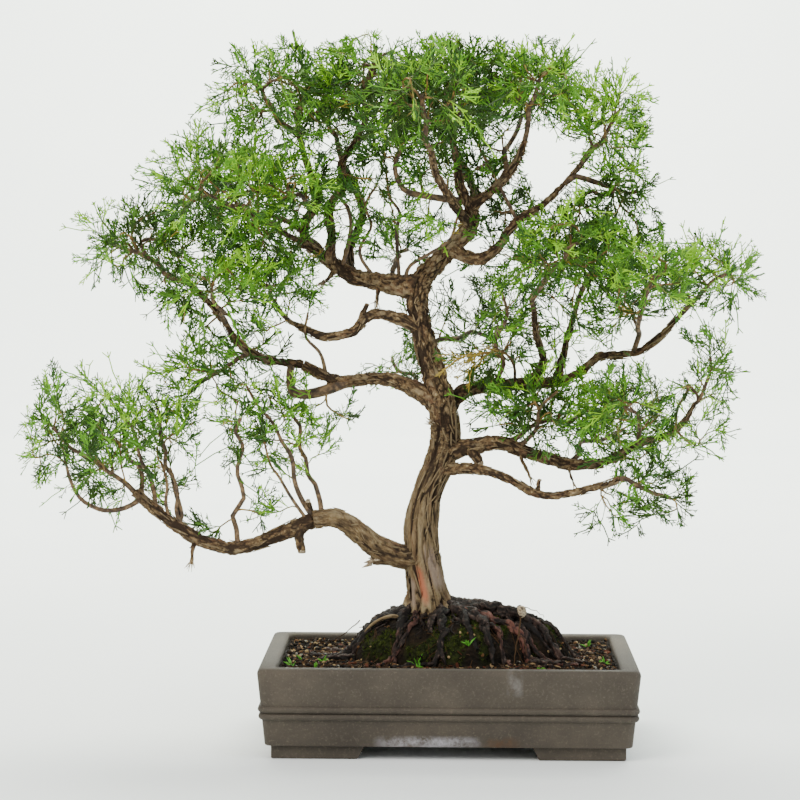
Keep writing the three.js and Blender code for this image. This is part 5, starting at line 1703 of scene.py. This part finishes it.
class BONSAI_OT_foliage(bpy.types.Operator):
    """Grows twigs and scale-leaf shoots in every pad, by the rule of the solids carried finer"""

    bl_idname = "bonsai.foliage"
    bl_label = "Twigs and foliage"

    def execute(self, context):
        looks = context.scene.bonsai_foliage
        rng = np.random.default_rng(101)
        limbs = grow_limbs()
        stems = [grow_stem(pad, limbs) for pad in PADS]
        goals, outs = twig_goals(looks, rng)
        keep = ~in_gaps(goals) & ~hides_limb(goals, limbs)
        thin = [Limb([tuple(limbs[name].place(limbs[name].nearest(route[0])))] + route[1:], girth)
                for name, girth, route in THIN_LIMBS]
        twigs, cloud = grow_twigs(limbs, stems, thin, goals[keep], outs[keep], rng)
        self.twigs(twigs)
        feet, ways, sizes, outs = shoots_along(twigs, looks, rng)
        tips = feet + ways * sizes[:, None]
        low, high = (np.array(corner) / MM - np.array(POT_MIDDLE) / MM for corner in CAD_BOX)
        keep = ((tips > low - looks.beyond) & (tips < high + looks.beyond)).all(axis=1)
        keep &= ~in_gaps(tips) & clear_of(feet, *cloud, 0.4)
        self.shoots(feet[keep], ways[keep], sizes[keep], outs[keep], looks.shoot)
        self.dried_spray()
        return {"FINISHED"}

    def dried_spray(self):
        """The strands that fan out from the dried limb before the trunk, each with a withered shoot."""
        rng = np.random.default_rng(9)
        stem = smooth_line(DRY_LIMB)
        parts, ends, ways = [], [], []
        for share in np.linspace(0.5, 0.99, 20):
            foot = stem(share)
            ahead = unit(stem(min(share + 0.03, 1.0)) - stem(share - 0.03))
            way = unit(ahead + np.array((0, rng.uniform(-0.35, 0.15), rng.uniform(-0.8, 0.6))))
            long = rng.uniform(9, 16) * (1.45 if share > 0.85 else 1)
            path = bend_path(foot, way, foot + way * long - UP * 0.16 * long, 6)
            parts.append(tube(path, np.linspace(0.34, 0.2, 6), 4)[:2])
            for spot in (2, 4):
                ends.append(path[spot])
                ways.append(unit(path[spot] - path[spot - 1] + rng.normal(0, 0.8, 3)))
        ends, ways = np.array(ends), np.array(ways)
        pattern, sides = shoot_pattern(rng, 2), sideways(ways, rng)
        parts.append(scatter(pattern, ends, ways, sides, rng.uniform(4, 8, len(ends))))
        material = leaf_material("withered_leaves", "#a08a42", 0.75)
        mesh_piece("dried_spray", parts, material, FOLIAGE_NODES, smooth=False)

    def twigs(self, twigs):
        """The twigs as tubes, each as thick as the tips it feeds ask for."""
        parts, ages = [], []
        for twig in twigs:
            radii = np.minimum(0.3 * twig.tips ** 0.4, 1.9)
            if twig.girth is not None:
                share = np.linspace(0, len(twig.girth) - 1, len(radii))
                radii = np.maximum(radii, np.interp(share, range(len(twig.girth)), twig.girth))
            sides = 12 if radii[0] > 1.7 else 6 if radii[0] > 0.9 else 4
            points, faces, _, _, size = tube(twig.path, radii, sides)
            parts.append((points, faces))
            ages.append(np.concatenate([size[:-2], radii[[0, -1]]]))
        half = len(parts) // 2
        for name, rows in (("twigs_inner", slice(0, half)), ("twigs_outer", slice(half, None))):
            age = {"age": ("FLOAT", np.concatenate(ages[rows]))}
            mesh_piece(name, parts[rows], twig_material(), FOLIAGE_NODES, age)

    def shoots(self, feet, ways, sizes, outs, shoot):
        """The shoots of scale leaves, sorted into a piece or two for each green."""
        rng = np.random.default_rng(77)
        patterns = [shoot_pattern(rng, branches) for branches in (0, 1, 2, 3, 4)]
        # Outer shoots are the young, light ones, in drifts; those inside are darker, as older growth and as
        # painted shade.
        drift = np.array([noise.noise(Vector(foot / 38)) for foot in feet])
        rank = 0.4 * outs + 0.6 * rng.uniform(size=len(feet)) + 0.45 * drift
        # Painted light and shade: shoots in these places move up or down the greens.
        for centre, reach, boost in PAINTED_LIGHT_AND_SHADE:
            gap = norm((feet - np.array(centre)) / np.array(reach), axis=1)
            rank += np.where((gap < 1) & (rng.uniform(size=len(feet)) < 0.5), boost, 0)
        centre, reach = (np.array(row) for row in DRIED_PLACE)
        dried = norm((feet - centre) / reach, axis=1) < 1
        dried = (dried & (rng.uniform(size=len(feet)) < 0.65)) | (rng.uniform(size=len(feet)) < 0.004)
        order = np.where(dried, 1.0, np.argsort(np.argsort(rank)) / len(feet))
        sides = sideways(ways, rng)
        kind = rng.integers(1, len(patterns), len(feet))
        # The long shoots are the plain ones.
        kind[sizes > 1.4 * shoot] = 0
        low = 0.0
        for name, colour, share in SHOOT_TINTS:
            chosen = (order >= low) & (order < low + share)
            low += share
            material = leaf_material(name, colour)
            counts = [(chosen & (kind == k)).sum() for k in range(len(patterns))]
            total = sum(len(faces) * count for (_, faces), count in zip(patterns, counts))
            share_out = int(total // LARGEST_PIECE) + 1
            for part in range(share_out):
                pieces = []
                for k, pattern in enumerate(patterns):
                    pick = chosen & (kind == k) & (np.arange(len(feet)) % share_out == part)
                    pieces.append(scatter(pattern, feet[pick], ways[pick], sides[pick], sizes[pick]))
                label = name if share_out == 1 else f"{name}_{part + 1}"
                mesh_piece(label, pieces, material, FOLIAGE_NODES, smooth=False)


# The stage

class StageLooks(bpy.types.PropertyGroup):
    """The camera's place and the strength of the light."""

    camera: FloatVectorProperty(name="Camera", description="The camera's place from the pot's middle",
                                default=(0.00168, -1.7704, 0.3401), size=3, unit="LENGTH")
    turn: FloatProperty(name="Turn", description="How far it turns left", default=0.0202, unit="ROTATION")
    tilt: FloatProperty(name="Tilt", description="How far it looks down", default=0.0617, unit="ROTATION")
    roll: FloatProperty(name="Roll", description="How far it rolls", default=0.0041, unit="ROTATION")
    lens: FloatProperty(name="Lens", description="Focal length in mm on a 36 mm sensor", default=117.97)
    key: FloatProperty(name="Key light", description="Watts of the large soft light", default=46.0)
    backdrop: FloatProperty(name="Backdrop light", description="Watts on the backdrop", default=310.0)
    fill: FloatProperty(name="Sky light", description="Strength of the light from all round", default=0.8)


# How far behind the plant the floor starts to rise, in metres.
SWEEP_START = 2.8


class BONSAI_OT_stage(bpy.types.Operator):
    """Adds the pale floor and backdrop, the soft lights and the camera"""

    bl_idname = "bonsai.stage"
    bl_label = "Stage"

    def area(self, name, place, aim, size, power, colour):
        """A soft square light that looks at a place."""
        light = bpy.data.lights.new(name, "AREA")
        light.shape = "SQUARE"
        light.size = size
        light.energy = power
        light.color = linear(colour)[:3]
        lamp = bpy.data.objects.new(name, light)
        lamp.location = place
        lamp.rotation_euler = (Vector(aim) - Vector(place)).to_track_quat("-Z", "Y").to_euler()
        bpy.context.scene.collection.objects.link(lamp)

    def camera(self, looks):
        """The camera at the height, distance and tilt that the picture asks for."""
        lens = bpy.data.cameras.new("camera")
        lens.sensor_width = 36
        lens.lens = looks.lens
        lens.clip_start = 0.05
        camera = bpy.data.objects.new("camera", lens)
        ahead = Vector((-math.sin(looks.turn) * math.cos(looks.tilt),
                        math.cos(looks.turn) * math.cos(looks.tilt), -math.sin(looks.tilt)))
        right = Vector((math.cos(looks.turn), math.sin(looks.turn), 0))
        above = right.cross(ahead)
        level = Matrix((right, above, -ahead)).transposed().to_4x4()
        rolled = level @ Matrix.Rotation(looks.roll, 4, "Z")
        camera.matrix_world = Matrix.Translation(Vector(looks.camera) + POT_MIDDLE) @ rolled
        bpy.context.scene.collection.objects.link(camera)
        bpy.context.scene.camera = camera

    def backdrop(self):
        """A floor that sweeps up well behind the plant, so that it can be seen from the back too."""
        floor = start_piece("floor", bpy.ops.mesh.primitive_plane_add, size=9,
                            location=(0, 1.2, -0.0002))
        bpy.ops.mesh.subdivide(number_cuts=40)
        bpy.ops.object.mode_set(mode="OBJECT")
        bpy.ops.object.transform_apply(location=True, rotation=True, scale=True)
        material, tree, shader = new_material("matt_paper")
        place = add_node(tree, "TexCoord").outputs["Object"]
        fibres = add_node(tree, "TexNoise", Vector=place, Scale=3.0, Detail=2.0)
        tone = add_node(tree, "ValToRGB", stops=[(0.3, "#eef3f3"), (0.7, "#f2f6f6")],
                        Fac=fibres.outputs["Fac"])
        plug(tree, shader.inputs["Base Color"], tone.outputs["Color"])
        plug(tree, shader.inputs["Roughness"], 0.95)
        floor.data.materials.append(material)
        for vertex in floor.data.vertices:
            vertex.co.z += 0.9 * max(vertex.co.y - SWEEP_START, 0.0) ** 2
        bpy.ops.object.shade_smooth()

    def execute(self, context):
        looks = context.scene.bonsai_stage
        self.backdrop()
        self.camera(looks)
        self.area("key_light", (-1.1, -1.3, 1.5), (0, 0, 0.25), 1.3, looks.key, "#fff8ee")
        self.area("backdrop_light", (0, 1.7, 2.6), (0, 2.9, 0.2), 3.0, looks.backdrop, "#fdfff2")
        self.area("sweep_light", (0, 3.2, 2.4), (0, 4.4, 1.0), 2.0, looks.backdrop * 0.2, "#fdfff2")
        self.area("side_light", (1.5, -0.7, 0.9), (0, 0, 0.25), 1.2, looks.key * 0.35, "#f0f6ff")
        world = bpy.data.worlds.new("studio")
        world.use_nodes = True
        background = world.node_tree.nodes["Background"]
        background.inputs["Color"].default_value = linear("#f1f6f6")
        background.inputs["Strength"].default_value = looks.fill
        bpy.context.scene.world = world
        return {"FINISHED"}


class BONSAI_PT_parts(bpy.types.Panel):
    """The bonsai's parts in the order in which they are made"""

    bl_label = "Bonsai"
    bl_space_type = "VIEW_3D"
    bl_region_type = "UI"
    bl_category = "Bonsai"

    def draw(self, context):
        for operator in OPERATORS:
            self.layout.operator(operator.bl_idname)


GROUPS = {
    "bonsai_pot": PotSizes, "bonsai_soil": SoilSizes, "bonsai_bark": BarkLooks,
    "bonsai_foliage": FoliageLooks, "bonsai_stage": StageLooks,
}
OPERATORS = (
    BONSAI_OT_stage, BONSAI_OT_pot, BONSAI_OT_soil, BONSAI_OT_limbs, BONSAI_OT_deadwood, BONSAI_OT_foliage,
)


def register():
    """Makes the settings, the operators and the panel known."""
    for kind in (*GROUPS.values(), *OPERATORS, BONSAI_PT_parts):
        bpy.utils.register_class(kind)
    for name, kind in GROUPS.items():
        setattr(bpy.types.Scene, name, PointerProperty(type=kind))


def unregister():
    """Takes them out again."""
    for name in GROUPS:
        delattr(bpy.types.Scene, name)
    for kind in reversed((*GROUPS.values(), *OPERATORS, BONSAI_PT_parts)):
        bpy.utils.unregister_class(kind)


def main():
    """Makes the scene's parts in order."""
    register()
    bpy.ops.bonsai.stage()
    bpy.ops.bonsai.pot()
    bpy.ops.bonsai.soil()
    bpy.ops.bonsai.limbs()
    bpy.ops.bonsai.deadwood()
    bpy.ops.bonsai.foliage()


if __name__ == "__main__":
    main()
